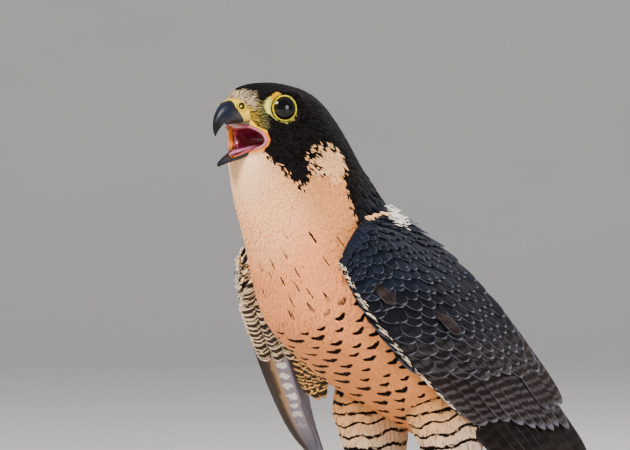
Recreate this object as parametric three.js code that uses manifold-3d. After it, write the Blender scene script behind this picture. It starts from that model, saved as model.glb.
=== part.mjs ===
// A life-size peregrine falcon, standing on a floor with its bill open, its left wing folded and
// its right wing held half open and away from the body. Millimetres, +Z up, the bird faces -Y.
import * as THREE from "three";
import { mergeVertices } from "three/addons/utils/BufferGeometryUtils.js";
import Module from "manifold-3d";

const wasm = await Module();
wasm.setup();

// Driving dimensions
const gap = 0.3; // clearance where one piece meets another
const headTurn = THREE.MathUtils.degToRad(8); // the head looks a little to the bird's left
const headPivotY = -66; // the neck turns about an upright line through this point
const neckTwistLow = 280; // below this height nothing turns
const neckTwistHigh = 315; // above this height the turn is complete
const eyeLineY = -90.8; // the head's own origin, midway between the eyes, before the turn
const eyeLineZ = 347.2;

const eyeRadius = 9.5;
const eyeAperture = 6.9; // radius of the part of the eye that shows
const eyeSide = 18.8; // from the middle of the head to the middle of the opening
const eyeForward = THREE.MathUtils.degToRad(20); // the eyes look out and a little ahead
const lidTube = 0.85;
const socketRadius = 8.5;
const nostrilRadius = 1.5;

const primaryCount = 10;
const secondaryCount = 10;
const tailFeatherCount = 12;
const flightThickness = 0.9;
const covertThickness = 0.8;
const shingleGap = 0.4; // clear height between neighbouring vanes of one row

const v3 = (x, y, z) => new THREE.Vector3(x, y, z);
const lerp = THREE.MathUtils.lerp;
const smoothstep = THREE.MathUtils.smoothstep;

// Solids

// A closed geometry from points and triangles, turned so that its faces point outwards.
function closed(points, faces) {
  let volume = 0;
  for (const [a, b, c] of faces) {
    volume += points[a].dot(points[b].clone().cross(points[c]));
  }
  const turned = volume < 0 ? faces.map(([a, b, c]) => [a, c, b]) : faces;
  const geometry = new THREE.BufferGeometry();
  geometry.setAttribute(
    "position",
    new THREE.Float32BufferAttribute(points.flatMap((p) => [p.x, p.y, p.z]), 3),
  );
  geometry.setIndex(turned.flat());
  return geometry;
}

function solidOf(geometry) {
  const bare = geometry.clone();
  bare.deleteAttribute("normal");
  bare.deleteAttribute("uv");
  const merged = mergeVertices(bare, 1e-4);
  return new wasm.Manifold(
    new wasm.Mesh({
      numProp: 3,
      vertProperties: merged.attributes.position.array,
      triVerts: new Uint32Array(merged.index.array),
    }),
  );
}

// The largest closed surface of a solid: loose scraps are dropped and sealed hollows filled.
function largest(solid) {
  const bodies = solid.decompose();
  return bodies.reduce((best, body) => (body.volume() > best.volume() ? body : best));
}

function geometryOf(solid) {
  const mesh = solid.getMesh();
  const stride = mesh.numProp;
  const positions = new Float32Array(mesh.numVert * 3);
  for (let i = 0; i < mesh.numVert; i++) {
    positions.set(mesh.vertProperties.subarray(i * stride, i * stride + 3), i * 3);
  }
  const geometry = new THREE.BufferGeometry();
  geometry.setAttribute("position", new THREE.BufferAttribute(positions, 3));
  geometry.setIndex(new THREE.BufferAttribute(new Uint32Array(mesh.triVerts), 1));
  return geometry.toNonIndexed();
}

const fuse = (solids) => solids.reduce((whole, solid) => whole.add(solid));
const cutBy = (solid, cutters) => cutters.reduce((left, cutter) => left.subtract(cutter), solid);

// A surface through rings of equal count, closed by a fan at each end.
function loft(rings) {
  const count = rings[0].length;
  const points = rings.flat();
  const faces = [];
  for (let i = 0; i + 1 < rings.length; i++) {
    for (let j = 0; j < count; j++) {
      const a = i * count + j;
      const b = i * count + ((j + 1) % count);
      faces.push([a, b, b + count], [a, b + count, a + count]);
    }
  }
  [0, rings.length - 1].forEach((end) => {
    const centre = v3(0, 0, 0);
    rings[end].forEach((p) => centre.addScaledVector(p, 1 / count));
    points.push(centre);
    for (let j = 0; j < count; j++) {
      const a = end * count + j;
      const b = end * count + ((j + 1) % count);
      faces.push(end ? [a, b, points.length - 1] : [b, a, points.length - 1]);
    }
  });
  return closed(points, faces);
}

// A plate between an upper and a lower sheet, both split into the same triangles.
function plate(upper, lower, rows, columns) {
  const points = [];
  const index = (side, i, j) => (side * (rows + 1) + i) * (columns + 1) + j;
  for (const sheet of [upper, lower]) {
    for (let i = 0; i <= rows; i++) {
      for (let j = 0; j <= columns; j++) points.push(sheet(i / rows, j / columns));
    }
  }
  const faces = [];
  for (let i = 0; i < rows; i++) {
    for (let j = 0; j < columns; j++) {
      for (const side of [0, 1]) {
        const [a, b] = [index(side, i, j), index(side, i, j + 1)];
        const [c, d] = [index(side, i + 1, j + 1), index(side, i + 1, j)];
        faces.push(...(side ? [[a, c, b], [a, d, c]] : [[a, b, c], [a, c, d]]));
      }
    }
  }
  const wall = (p, q) => {
    const [a, b] = [index(0, ...p), index(0, ...q)];
    const [c, d] = [index(1, ...q), index(1, ...p)];
    faces.push([b, a, d], [b, d, c]);
  };
  for (let i = 0; i < rows; i++) {
    wall([i + 1, 0], [i, 0]);
    wall([i, columns], [i + 1, columns]);
  }
  for (let j = 0; j < columns; j++) {
    wall([0, j], [0, j + 1]);
    wall([rows, j + 1], [rows, j]);
  }
  return closed(points, faces);
}

// A tapering round bar along a curve. size(t) gives its half-width and half-height.
function bar(curve, size, steps, sides, up = v3(0, 0, 1)) {
  const rings = [];
  for (let i = 0; i <= steps; i++) {
    const t = i / steps;
    const centre = curve.getPoint(t);
    const along = curve.getTangent(t);
    const side = along.clone().cross(up).normalize();
    const top = side.clone().cross(along).normalize();
    const [halfWidth, halfHeight] = size(t);
    rings.push(
      Array.from({ length: sides }, (_, j) => {
        const angle = (j / sides) * 2 * Math.PI;
        return centre
          .clone()
          .addScaledVector(side, halfWidth * Math.cos(angle))
          .addScaledVector(top, halfHeight * Math.sin(angle));
      }),
    );
  }
  return solidOf(loft(rings));
}

const curveThrough = (points) =>
  new THREE.CatmullRomCurve3(points.map((p) => v3(...p)), false, "catmullrom", 0.5);

// The head's own frame

// Turns what lies above the neck about the upright pivot line.
function turned(p) {
  const angle = headTurn * smoothstep(p.z, neckTwistLow, neckTwistHigh);
  const y = p.y - headPivotY;
  return v3(
    p.x * Math.cos(angle) - y * Math.sin(angle),
    headPivotY + p.x * Math.sin(angle) + y * Math.cos(angle),
    p.z,
  );
}

// A point of the head from its distances to the left, ahead of and above the eyes' midpoint.
const onHead = (left, ahead, above) => turned(v3(left, eyeLineY - ahead, eyeLineZ + above));
const headCurve = (points) => curveThrough(points.map((p) => onHead(...p).toArray()));

// Head, neck and torso

// Each station joins a point of the back line to one of the breast line, with the half-width there.
// egg makes a section wider towards the crown and narrower towards the chin.
const bodyStations = [
  { back: [-117.2, 353.5], front: [-116.4, 319], half: 6.5, egg: 0.2 },
  { back: [-110.5, 359.5], front: [-113.5, 311], half: 11.5, egg: 0.25 },
  { back: [-97, 362.8], front: [-111, 300], half: 18, egg: 0.28 },
  { back: [-80, 362.6], front: [-104.5, 284], half: 23.5, egg: 0.2 },
  { back: [-60, 357], front: [-97.5, 266], half: 29, egg: 0.1 },
  { back: [-43, 340.5], front: [-91, 250], half: 35, egg: 0 },
  { back: [-28, 313.5], front: [-84, 235], half: 45, egg: 0 },
  { back: [-3, 285], front: [-70, 211], half: 50, egg: -0.2 },
  { back: [42, 243], front: [-40, 186], half: 49.5, egg: -0.34 },
  { back: [74, 200], front: [5, 157], half: 41, egg: -0.3 },
  { back: [97, 171], front: [50, 138], half: 29, egg: -0.1 },
  { back: [108, 153], front: [80, 138], half: 17, egg: 0 },
];

const stationCurve = (pick) => curveThrough(bodyStations.map(pick));
const backCurve = stationCurve((s) => [0, ...s.back]);
const frontCurve = stationCurve((s) => [0, ...s.front]);
const widthCurve = stationCurve((s) => [s.half, s.egg, 0]);
const sectionFullness = 0.8; // under 1 makes the sections squarer than an ellipse

// The whole body without wings, legs or tail, swollen by grow on every side.
function bodySolid(grow, steps = 26, sides = 18) {
  const rings = [];
  for (let i = 0; i <= steps; i++) {
    const t = i / steps;
    const back = backCurve.getPoint(t);
    const front = frontCurve.getPoint(t);
    const wide = widthCurve.getPoint(t);
    const centre = back.clone().add(front).multiplyScalar(0.5);
    const reach = back.clone().sub(centre);
    reach.setLength(reach.length() + grow);
    const past = i === 0 ? -grow : i === steps ? grow : 0;
    const along = backCurve.getTangent(t).add(frontCurve.getTangent(t)).normalize();
    centre.addScaledVector(along, past);
    rings.push(
      Array.from({ length: sides }, (_, j) => {
        const angle = (j / sides) * 2 * Math.PI;
        const across = Math.sign(Math.sin(angle)) * Math.abs(Math.sin(angle)) ** sectionFullness;
        const p = centre.clone().addScaledVector(reach, Math.cos(angle));
        p.x += (wide.x * (1 + wide.y * Math.cos(angle)) + grow) * across;
        return turned(p);
      }),
    );
  }
  return solidOf(loft(rings));
}

// A plane across the body, square to the middle plane, through two points given as [y, z].
function planeAcross(low, high) {
  const along = new THREE.Vector2(high[0] - low[0], high[1] - low[1]).normalize();
  const normal = [0, along.y, -along.x]; // points towards the tail
  return { normal, offset: normal[1] * low[0] + normal[2] * low[1] };
}

const beyond = (solid, plane) => solid.trimByPlane(plane.normal, plane.offset + gap / 2);
const before = (solid, plane) =>
  solid.trimByPlane(plane.normal.map((n) => -n), -plane.offset + gap / 2);

const napeCut = planeAcross([-97, 265], [-44, 342]);
const shoulderCut = planeAcross([-80, 231], [-14, 300]);

// Eyes and lids

const ballAt = (centre, radius, detail = 12) => {
  const sphere = new THREE.SphereGeometry(radius, detail, Math.round(detail * 0.7));
  sphere.translate(...centre.toArray());
  return solidOf(sphere);
};

const sideName = (side) => (side > 0 ? "left" : "right");
const eyeDepth = Math.sqrt(eyeRadius ** 2 - eyeAperture ** 2);

function eyeAxis(side) {
  const centre = onHead(0, 0, 0);
  const ahead = Math.sin(eyeForward);
  return onHead(side * Math.cos(eyeForward), ahead, 0).sub(centre).normalize();
}

const eyeOpening = (side) => onHead(side * eyeSide, 0, 0);
const eyeCentre = (side) => eyeOpening(side).addScaledVector(eyeAxis(side), -eyeDepth);
const eyeSolid = (side, grow) => ballAt(eyeCentre(side), eyeRadius + grow);

function lidSolid(side, grow) {
  const ring = new THREE.TorusGeometry(eyeAperture + lidTube * 0.6, lidTube + grow, 5, 13);
  const facing = new THREE.Quaternion().setFromUnitVectors(v3(0, 0, 1), eyeAxis(side));
  ring.applyQuaternion(facing);
  ring.translate(...eyeOpening(side).toArray());
  return solidOf(ring);
}

// The shallow dish in which the bare ring of the eye lies.
function socketCut(side) {
  const dish = new THREE.CylinderGeometry(socketRadius + 3, socketRadius, 6, 12);
  dish.translate(0, 3, 0);
  dish.applyQuaternion(new THREE.Quaternion().setFromUnitVectors(v3(0, 1, 0), eyeAxis(side)));
  dish.translate(...eyeOpening(side).addScaledVector(eyeAxis(side), -lidTube - gap).toArray());
  return solidOf(dish);
}

// The bony brow that overhangs each eye.
function browSolid(side) {
  const ridge = headCurve([
    [side * 12, 15, 6],
    [side * 16.4, 8, 8],
    [side * 18.6, -1, 9.2],
    [side * 18.4, -10, 7.6],
  ]);
  return bar(ridge, (t) => [1.2 + 2 * Math.sin(Math.PI * t), 1 + 1.6 * Math.sin(Math.PI * t)], 5, 6);
}

// Bill, mouth and tongue

const upperStations = [
  { top: [13, 5.5], low: [11, -11], half: 12.6 },
  { top: [20.5, 6.4], low: [18.5, -10.2], half: 11.4 },
  { top: [27.1, 5.1], low: [24.6, -9], half: 9.2 },
  { top: [33.4, 1.9], low: [30, -8.6], half: 6.9 },
  { top: [37.6, -3.6], low: [33, -9.4], half: 4.6 },
  { top: [39.6, -9.4], low: [35.2, -11.6], half: 2.7 },
  { top: [39.7, -14], low: [37.2, -14.6], half: 1.2 },
  { top: [38.6, -17], low: [38.1, -17.1], half: 0.4 },
];

// The upper mandible: a ridge above and a flat palate below, hooked at the tip.
function upperBill(grow) {
  const curveOf = (pick) => curveThrough(upperStations.map(pick));
  const top = curveOf((s) => [0, ...s.top]);
  const low = curveOf((s) => [0, ...s.low]);
  const half = curveOf((s) => [s.half, 0, 0]);
  const rings = [];
  const steps = 10;
  for (let i = 0; i <= steps; i++) {
    const t = i / steps;
    const [a, b] = [top.getPoint(t), low.getPoint(t)];
    const reach = a.clone().sub(b);
    const tall = reach.length();
    reach.setLength(1);
    const width = half.getPoint(t).x + grow;
    const ring = [];
    for (let j = 0; j < 12; j++) {
      const angle = (j / 12) * 2 * Math.PI;
      const rise = Math.cos(angle) > 0 ? Math.cos(angle) : Math.cos(angle) * 0.25;
      const p = b.clone().addScaledVector(reach, tall * 0.22 + rise * (tall * 0.78 + grow));
      ring.push(onHead(width * Math.sin(angle), p.y, p.z));
    }
    rings.push(ring);
  }
  return solidOf(loft(rings));
}

// Where the soft cere ends and the horn begins, square to the head's middle plane.
function horncut() {
  const a = onHead(0, 28, 6);
  const b = onHead(0, 21.5, -12);
  const across = onHead(1, 0, 0).sub(onHead(0, 0, 0));
  const normal = b.clone().sub(a).cross(across).normalize();
  const ahead = onHead(0, 40, 0).sub(a);
  if (normal.dot(ahead) < 0) normal.negate();
  return { normal: normal.toArray(), offset: normal.dot(a) };
}

function nostrilCut(side) {
  const hole = new THREE.CylinderGeometry(nostrilRadius, nostrilRadius, 5, 8);
  const axis = onHead(side, 0.25, 0.1).sub(onHead(0, 0, 0)).normalize();
  hole.applyQuaternion(new THREE.Quaternion().setFromUnitVectors(v3(0, 1, 0), axis));
  hole.translate(...onHead(side * 9.8, 24.2, 0).toArray());
  return solidOf(hole);
}

const nostrilTubercle = (side) => ballAt(onHead(side * 7.8, 24.2, 0), 0.8, 6);

const jawRim = curveThrough([
  [13.6, 10, -21.6],
  [10.6, 17.5, -25],
  [8.4, 23, -27.6],
  [5.4, 29.5, -30.4],
  [1.8, 35.4, -33.4],
]);

// The lower mandible, a trough that opens upwards. The rim curve holds half-width, ahead, above.
function lowerBill(grow) {
  const rings = [];
  const steps = 6;
  for (let i = 0; i <= steps; i++) {
    const rim = jawRim.getPoint(i / steps);
    const deep = lerp(5.4, 1.6, i / steps) + grow;
    const dip = lerp(3.2, 0.7, i / steps);
    const half = rim.x + grow;
    const ring = [
      [-half, 0.2], [-half * 0.66, -dip * 0.55], [0, -dip], [half * 0.66, -dip * 0.55], [half, 0.2],
      [half * 0.93, -deep * 0.55], [half * 0.6, -deep * 0.93], [0, -deep - 0.4],
      [-half * 0.6, -deep * 0.93], [-half * 0.93, -deep * 0.55],
    ];
    const start = i === 0 ? -grow : i === steps ? grow : 0;
    rings.push(
      ring.map(([left, above], j) =>
        onHead(left, rim.y + start - above * 0.25, rim.z + above + (j < 5 ? grow : 0)),
      ),
    );
  }
  return solidOf(loft(rings));
}

// The gape skin that edges the corner of the open mouth.
function gapeSolid(side, grow) {
  const edge = headCurve([
    [side * 10.8, 20.6, -10.4],
    [side * 13.2, 16.4, -12],
    [side * 15.9, 13.4, -14.8],
    [side * 17.8, 11.8, -19.2],
    [side * 16.2, 12.8, -23.2],
    [side * 12.4, 17, -25.9],
  ]);
  return bar(edge, (t) => Array(2).fill(0.9 + 0.7 * Math.sin(Math.PI * t) + grow), 9, 6, v3(0, -1, 0.2));
}

function tongueSolid(grow) {
  const middle = headCurve([[0, 2, -22.6], [0, 11, -23.4], [0, 20, -25.4], [0, 28, -28]]);
  const size = (t) => [
    (1 - 0.75 * t ** 3) * 5 * Math.sin(Math.PI * (0.28 + 0.62 * t)) + grow,
    1.7 - 0.9 * t + grow,
  ];
  return bar(middle, size, 6, 8);
}

// The gap between the jaws, from one cheek to the other, and the throat behind it.
function mouthSpace() {
  const outline = [
    [50, -10.5], [27, -9.6], [19.5, -10.8], [14.6, -13.6], [10.6, -19.2], [12.4, -23], [18, -25.4],
    [30, -31.6], [50, -42],
  ];
  const wide = 40;
  const rings = [-wide, wide].map((left) =>
    outline.map(([ahead, above]) => onHead(left, ahead, above)),
  );
  const throat = new THREE.SphereGeometry(1, 10, 7);
  throat.scale(13, 15, 6);
  throat.rotateX(0.15);
  const centre = v3(0, eyeLineY - 11, eyeLineZ - 18.6);
  const position = throat.attributes.position;
  for (let i = 0; i < position.count; i++) {
    const p = turned(v3().fromBufferAttribute(position, i).add(centre));
    position.setXYZ(i, p.x, p.y, p.z);
  }
  return solidOf(loft(rings)).add(solidOf(throat));
}

// Feathers

// How wide a vane is along its length, from a narrow root through full width to a rounded tip.
const vaneShape = curveThrough([
  [0.45, 0, 0], [0.82, 0, 0], [1, 0, 0], [1, 0, 0], [0.86, 0, 0], [0.24, 0, 0],
]);

// One vane laid on a surface. feather holds: across (its place across the surface), from and to
// (its ends along the surface), half (its half-width in mm), lift (heights at root and tip),
// tilt (how much one edge stands above the other), thick, and steps.
function vane(surface, feather) {
  const { across, from, to, half, lift, tilt, thick, steps } = feather;
  const drift = feather.drift ?? 0;
  const sheet = (height) => (a, b) => {
    const at = a ** 0.75; // sections stand closer together towards the tip
    const reach = half * vaneShape.getPoint(at).x;
    const along = lerp(from, to, at);
    const middle = across + drift * at;
    const edge = b * 2 - 1;
    const width = surface.width(along);
    const p = surface.at(along, middle + (edge * reach) / width);
    const rise = lerp(lift[0], lift[1], Math.min(1, at * 1.6)) + tilt * edge;
    const thin = lerp(1, 0.75, at);
    return p.addScaledVector(surface.normal(along, middle), rise + height * thick * thin);
  };
  return solidOf(plate(sheet(0.5), sheet(-0.5), steps, 1));
}

// A row of vanes side by side, each tilted so that it lies clear over its neighbour.
function vaneRow(surface, row) {
  const vanes = [];
  for (let i = 0; i < row.count; i++) {
    const t = row.count > 1 ? i / (row.count - 1) : 0.5;
    const across = lerp(row.across[0], row.across[1], t);
    const spacing =
      (Math.abs(row.across[1] - row.across[0]) / Math.max(1, row.count - 1)) *
      surface.width(row.root(t) * 0.5 + row.tip(t) * 0.5);
    const half = row.half(t);
    const tilt = (half / Math.max(spacing, 1.5)) * (row.thick + shingleGap) * (row.lean ?? 1);
    vanes.push(
      vane(surface, {
        across,
        from: row.root(t),
        to: row.tip(t),
        half,
        lift: row.lift,
        tilt: Math.sign(tilt) * Math.min(Math.abs(tilt), half * 0.45),
        thick: row.thick,
        steps: row.steps,
        drift: row.drift ? row.drift(t) : 0,
      }),
    );
  }
  return vanes;
}

// Wings

// A wing's surface runs from its leading edge (across = 0) to its inner edge (across = 1), and
// from the wrist end (along = 0) to the tip (along = 1). It swells outwards between the edges,
// and its front end bows forwards.
class WingSurface {
  constructor({ side, lead, inner, swell, bow }) {
    this.side = side;
    this.lead = curveThrough(lead);
    this.inner = curveThrough(inner);
    this.swell = swell;
    this.bow = bow;
  }

  flat(along, across) {
    const t = THREE.MathUtils.clamp(along, 0, 1);
    return this.lead.getPoint(t).lerp(this.inner.getPoint(t), across);
  }

  facing(along) {
    const step = 0.02;
    const t = THREE.MathUtils.clamp(along, step, 1 - step);
    const forward = this.flat(t + step, 0.5).sub(this.flat(t - step, 0.5));
    const sideways = this.flat(t, 1).sub(this.flat(t, 0));
    return forward.cross(sideways).multiplyScalar(this.side).normalize();
  }

  at(along, across) {
    const bulge = this.swell(along) * 5.2 * across * Math.max(0, 1 - across) ** 1.5;
    const ahead = this.bow * 4 * across * (1 - across) * (1 - smoothstep(along, 0, 0.25));
    const forward = this.flat(0, 0.5).sub(this.flat(0.15, 0.5)).normalize();
    return this.flat(along, across)
      .addScaledVector(this.facing(along), bulge)
      .addScaledVector(forward, ahead);
  }

  normal(along, across) {
    const step = 0.03;
    const sideways = this.at(along, across + step).sub(this.at(along, across - step));
    const t = THREE.MathUtils.clamp(along, step, 1 - step);
    const forward = this.at(t + step, across).sub(this.at(t - step, across));
    return forward.cross(sideways).multiplyScalar(this.side).normalize();
  }

  width(along) {
    return this.flat(along, 1).distanceTo(this.flat(along, 0));
  }
}

const leftWing = new WingSurface({
  side: 1,
  lead: [[58, -73, 257], [63, -58, 230], [60.5, -25, 196], [55, 12, 167], [50, 48, 138.5],
    [49, 100, 96], [47, 165, 45]],
  inner: [[27, -6, 285], [22, 37, 257], [19, 76, 225], [16, 104, 194], [17, 130, 162],
    [29, 156, 118], [41, 184, 56]],
  bow: 15,
  swell: (along) => lerp(13, 2, smoothstep(along, 0.25, 0.95)) * smoothstep(along, -0.25, 0.12),
});

const rightWing = new WingSurface({
  side: -1,
  lead: [[-58, -72, 257], [-88, -55, 239], [-125, -22, 215], [-155, 6, 194], [-188, 36, 171],
    [-222, 70, 145], [-261, 112, 116]],
  inner: [[-27, -6, 285], [-26, 39, 258], [-30, 77, 228], [-40, 106, 198], [-54, 132, 172],
    [-74, 158, 150], [-100, 186, 130]],
  bow: 12,
  swell: (along) => lerp(8, 2, smoothstep(along, 0.2, 0.9)) * smoothstep(along, -0.25, 0.12),
});

// The fleshy arm under the coverts: thick at the wrist and shoulder, thin where the quills leave.
function wingCore(surface, open) {
  const end = between(0.3, 0.36);
  const thick = 7;
  const rootDepth = open ? 22 : 16; // the inner half reaches down to meet the body
  const under = (a, b) =>
    lerp(3, rootDepth, smoothstep(b, open ? 0.35 : 0.2, open ? 0.9 : 0.7)) * (1 - 0.6 * a);
  const taper = (a) => 1 - 0.45 * smoothstep(a, 0.35, 1);
  const across = (b) => lerp(0.015, 0.985, b);
  const round = (b) => Math.sqrt(Math.max(0.06, 1 - (2 * b - 1) ** 6));
  const sheet = (height) => (a, b) => {
    const along = lerp(0.012, end(b), a);
    const nose = Math.sqrt(smoothstep(a, -0.08, 0.16));
    const top = -1.2 - 3.4 * smoothstep(a, 0.45, 1);
    const rise = height > 0 ? top : top - thick * taper(a) - under(a, b);
    return surface
      .at(along, across(b))
      .addScaledVector(surface.normal(along, across(b)), lerp(-thick / 2, rise, round(b) * nose));
  };
  return solidOf(plate(sheet(1), sheet(-1), 6, 6));
}

const constant = (value) => () => value;
const between = (a, b) => (t) => lerp(a, b, t);

// Each wing's rows, from the long quills up to the small coverts of the wrist.
function wingRows(open) {
  const primaryTips = [0.965, 1, 0.985, 0.945, 0.895, 0.84, 0.785, 0.735, 0.69, 0.65];
  const primaryTip = (t) => primaryTips[Math.round(t * (primaryCount - 1))];
  return [
    { // primaries
      count: primaryCount, across: open ? [0.035, 0.25] : [0.1, 0.8],
      root: between(0.25, 0.29), tip: primaryTip, half: open ? between(9, 8) : between(8.6, 10.5),
      lift: [-9.8, open ? -6.5 : -8.2], thick: flightThickness, steps: 3, lean: open ? 0.8 : 1,
      drift: open ? undefined : between(0, 0.08),
    },
    { // secondaries
      count: secondaryCount, across: [open ? 0.27 : 0.1, 0.94],
      root: between(0.27, 0.29), tip: open ? between(0.61, 0.55) : between(0.57, 0.65),
      half: constant(10.6), lift: [-6.4, -3.4], thick: flightThickness, steps: 3,
    },
    { // greater coverts
      count: 7, across: [0.11, 0.91], root: constant(0.24), tip: between(0.4, 0.47),
      half: constant(11.2), lift: [-4.6, -1], thick: covertThickness, steps: 2,
    },
    { // median coverts
      count: 7, across: [0.1, 0.91], root: constant(0.17), tip: between(0.32, 0.38),
      half: constant(10.8), lift: [-3, 1], thick: covertThickness, steps: 2,
    },
    { // lesser coverts
      count: 6, across: [0.13, 0.88], root: constant(0.1), tip: between(0.22, 0.28),
      half: constant(11), lift: [-2.6, 2.4], thick: covertThickness, steps: 2,
    },
    { // lining of the underside
      count: 6, across: [0.12, 0.86], root: constant(0.22), tip: between(0.4, 0.36),
      half: constant(10.5), lift: [-10.4, -13.6], thick: covertThickness, steps: 2,
    },
  ];
}

// The space that a wing takes up on its inner side, kept free of the leg beneath it.
function wingRoom(surface) {
  const sheet = (outside) => (a, b) => {
    const along = lerp(0.02, 1, a);
    const across = lerp(-0.12, 1, b);
    const deep = lerp(-26, -15.8, smoothstep(along, 0.15, 0.35));
    return surface
      .at(along, across)
      .addScaledVector(surface.normal(along, across), outside ? 30 : deep);
  };
  return solidOf(plate(sheet(true), sheet(false), 8, 5));
}

function wingSolid(surface, open, neighbours) {
  const vanes = wingRows(open).flatMap((row) => vaneRow(surface, row));
  return largest(cutBy(fuse([wingCore(surface, open), ...vanes]), neighbours));
}

// Tail

const tailRoot = v3(0, 99, 164);
const tailSlope = THREE.MathUtils.degToRad(47); // below the horizontal
const tailLength = 172;
const tailFan = THREE.MathUtils.degToRad(5); // each side of the middle

const tailSurface = {
  side: 1,
  spread: (across) => lerp(-tailFan, tailFan, across),
  at(along, across) {
    const angle = this.spread(across);
    const out = along * tailLength;
    const sideways = Math.sin(angle) * out + (across - 0.5) * 22;
    const crown = -5 * (2 * across - 1) ** 2;
    return v3(sideways, Math.cos(tailSlope) * out, -Math.sin(tailSlope) * out)
      .addScaledVector(this.normal(), crown)
      .add(tailRoot);
  },
  normal: () => v3(0, Math.sin(tailSlope), Math.cos(tailSlope)),
  width: (along) => 22 + 2 * Math.sin(tailFan) * along * tailLength,
};

function tailSolid(neighbours) {
  const core = plate(
    (a, b) => tailSurface.at(lerp(-0.12, 0.26, a), lerp(0.06, 0.94, b))
      .addScaledVector(tailSurface.normal(), 6.5 * (1 - 0.75 * a) * Math.sqrt(1 - 0.8 * (2 * b - 1) ** 2)),
    (a, b) => tailSurface.at(lerp(-0.12, 0.26, a), lerp(0.06, 0.94, b))
      .addScaledVector(tailSurface.normal(), -9 * (1 - 0.8 * a) * Math.sqrt(1 - 0.8 * (2 * b - 1) ** 2)),
    4, 5,
  );
  const feathers = [];
  for (const side of [1, -1]) {
    for (let i = 0; i < tailFeatherCount / 2; i++) {
      const level = i === 0 ? (side > 0 ? 2 : 1) : 1 - i;
      feathers.push(
        vane(tailSurface, {
          across: 0.5 + side * (i === 0 ? 0.06 : 0.115 + 0.061 * i),
          from: 0.06, to: 1 - 0.06 * (i / 5) ** 2, half: 8.6,
          lift: [level * 0.6, level * (flightThickness + shingleGap)], tilt: 0,
          thick: flightThickness, steps: 3,
        }),
      );
    }
  }
  const coverts = [1, -1].flatMap((face) =>
    vaneRow(tailSurface, {
      count: 5, across: [0.18, 0.82], root: constant(0.04), tip: (t) => 0.44 - 0.3 * (t - 0.5) ** 2,
      half: constant(7.6), lift: [face * 2, face > 0 ? 5.4 : -8.8], thick: covertThickness,
      steps: 2, lean: 0.6,
    }),
  );
  return largest(cutBy(fuse([solidOf(core), ...feathers, ...coverts]), neighbours));
}

// Legs and feet

const legs = {
  left: { side: 1, hip: [27, 16, 190], knee: [28, 31, 142], heel: [28, 38, 72], foot: [28, 16, 12] },
  right: { side: -1, hip: [-27, 3, 186], knee: [-28, 12, 138], heel: [-28, 17, 72], foot: [-28, -5, 12] },
};

function thighSolid({ hip, knee, heel }, neighbours) {
  const middle = curveThrough([hip, knee, heel]);
  const size = (t) => {
    const girth = lerp(23.5, 9.5, smoothstep(t, 0.2, 1)) * Math.sqrt(smoothstep(t, -0.3, 0.3));
    return [girth * 0.86, girth * 1.08];
  };
  const flesh = bar(middle, size, 7, 10, v3(0, 1, 0));
  const locks = [];
  for (const [tier, low] of [[0.52, 0.84], [0.72, 1.02]]) {
    for (let i = 0; i < 5; i++) {
      const angle = ((i + (tier > 0.6 ? 0.5 : 0)) / 5) * 2 * Math.PI;
      locks.push(trouserLock(middle, size, angle, tier, low));
    }
  }
  return largest(cutBy(fuse([flesh, ...locks]), neighbours));
}

// One flat tapering feather of the trousers, rooted in the thigh and hanging down beside it.
function trouserLock(middle, size, angle, from, to) {
  const out = v3(Math.cos(angle), Math.sin(angle), 0);
  const side = v3(-Math.sin(angle), Math.cos(angle), 0);
  const sheet = (height) => (a, b) => {
    const t = lerp(from, to, a);
    const p = middle.getPoint(Math.min(1, t));
    p.z -= Math.max(0, t - 1) * 110;
    const [girthX, girthY] = size(Math.min(1, t));
    const reach = Math.hypot(girthX * Math.cos(angle), girthY * Math.sin(angle)) * 0.93 + 3.4 * a - 0.8;
    const half = 7 * [0.8, 1, 0.2][Math.round(a * 2)];
    return p
      .addScaledVector(out, reach + height * 1.1)
      .addScaledVector(side, (b * 2 - 1) * half);
  };
  return solidOf(plate(sheet(0.5), sheet(-0.5), 2, 1));
}

function tarsusSolid({ heel, foot }, grow) {
  const lean = v3(...heel).sub(v3(...foot)).normalize();
  const low = v3(...foot).addScaledVector(lean, 2);
  const high = v3(...heel).addScaledVector(lean, 10);
  const middle = curveThrough([low.toArray(), low.clone().lerp(high, 0.5).toArray(), high.toArray()]);
  const scute = (t) => 0.22 * Math.abs(Math.sin(t * Math.PI * 9));
  const size = (t) => {
    const girth = 3.6 + 1.5 * (1 - smoothstep(t, 0, 0.22)) + 1.1 * smoothstep(t, 0.7, 1) + scute(t);
    return [girth * 0.92 + grow, girth * 1.1 + grow];
  };
  return bar(middle, size, 10, 8, v3(0, -1, 0));
}

// The toes: the heading is measured from straight ahead, towards the outer side of the foot.
const toes = [
  { name: "hind", heading: 172, length: 23, girth: 4.1, claw: 19 },
  { name: "inner", heading: -38, length: 33, girth: 4.2, claw: 18 },
  { name: "middle", heading: 3, length: 49, girth: 4.1, claw: 17 },
  { name: "outer", heading: 44, length: 38, girth: 3.8, claw: 14 },
];

function toeFrame(leg, toe) {
  const angle = THREE.MathUtils.degToRad(toe.heading) * leg.side;
  return { origin: v3(...leg.foot), out: v3(Math.sin(angle), -Math.cos(angle), 0) };
}

function toeSolid(leg, toe) {
  const { origin, out } = toeFrame(leg, toe);
  const at = (reach, height) =>
    v3(origin.x, origin.y, 0).addScaledVector(out, reach).setZ(height).toArray();
  const line = curveThrough([
    at(0, origin.z - 1), at(toe.length * 0.28, toe.girth + 2.6), at(toe.length * 0.6, toe.girth * 0.88),
    at(toe.length, toe.girth * 0.82),
  ]);
  const joints = 3;
  const size = (t) => {
    const pad = 0.55 * Math.cos(t * joints * 2 * Math.PI);
    const girth = toe.girth * (1.12 - 0.22 * t) + pad;
    return [girth * 0.95, girth * 1.04];
  };
  return bar(line, size, 6, 6);
}

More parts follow.
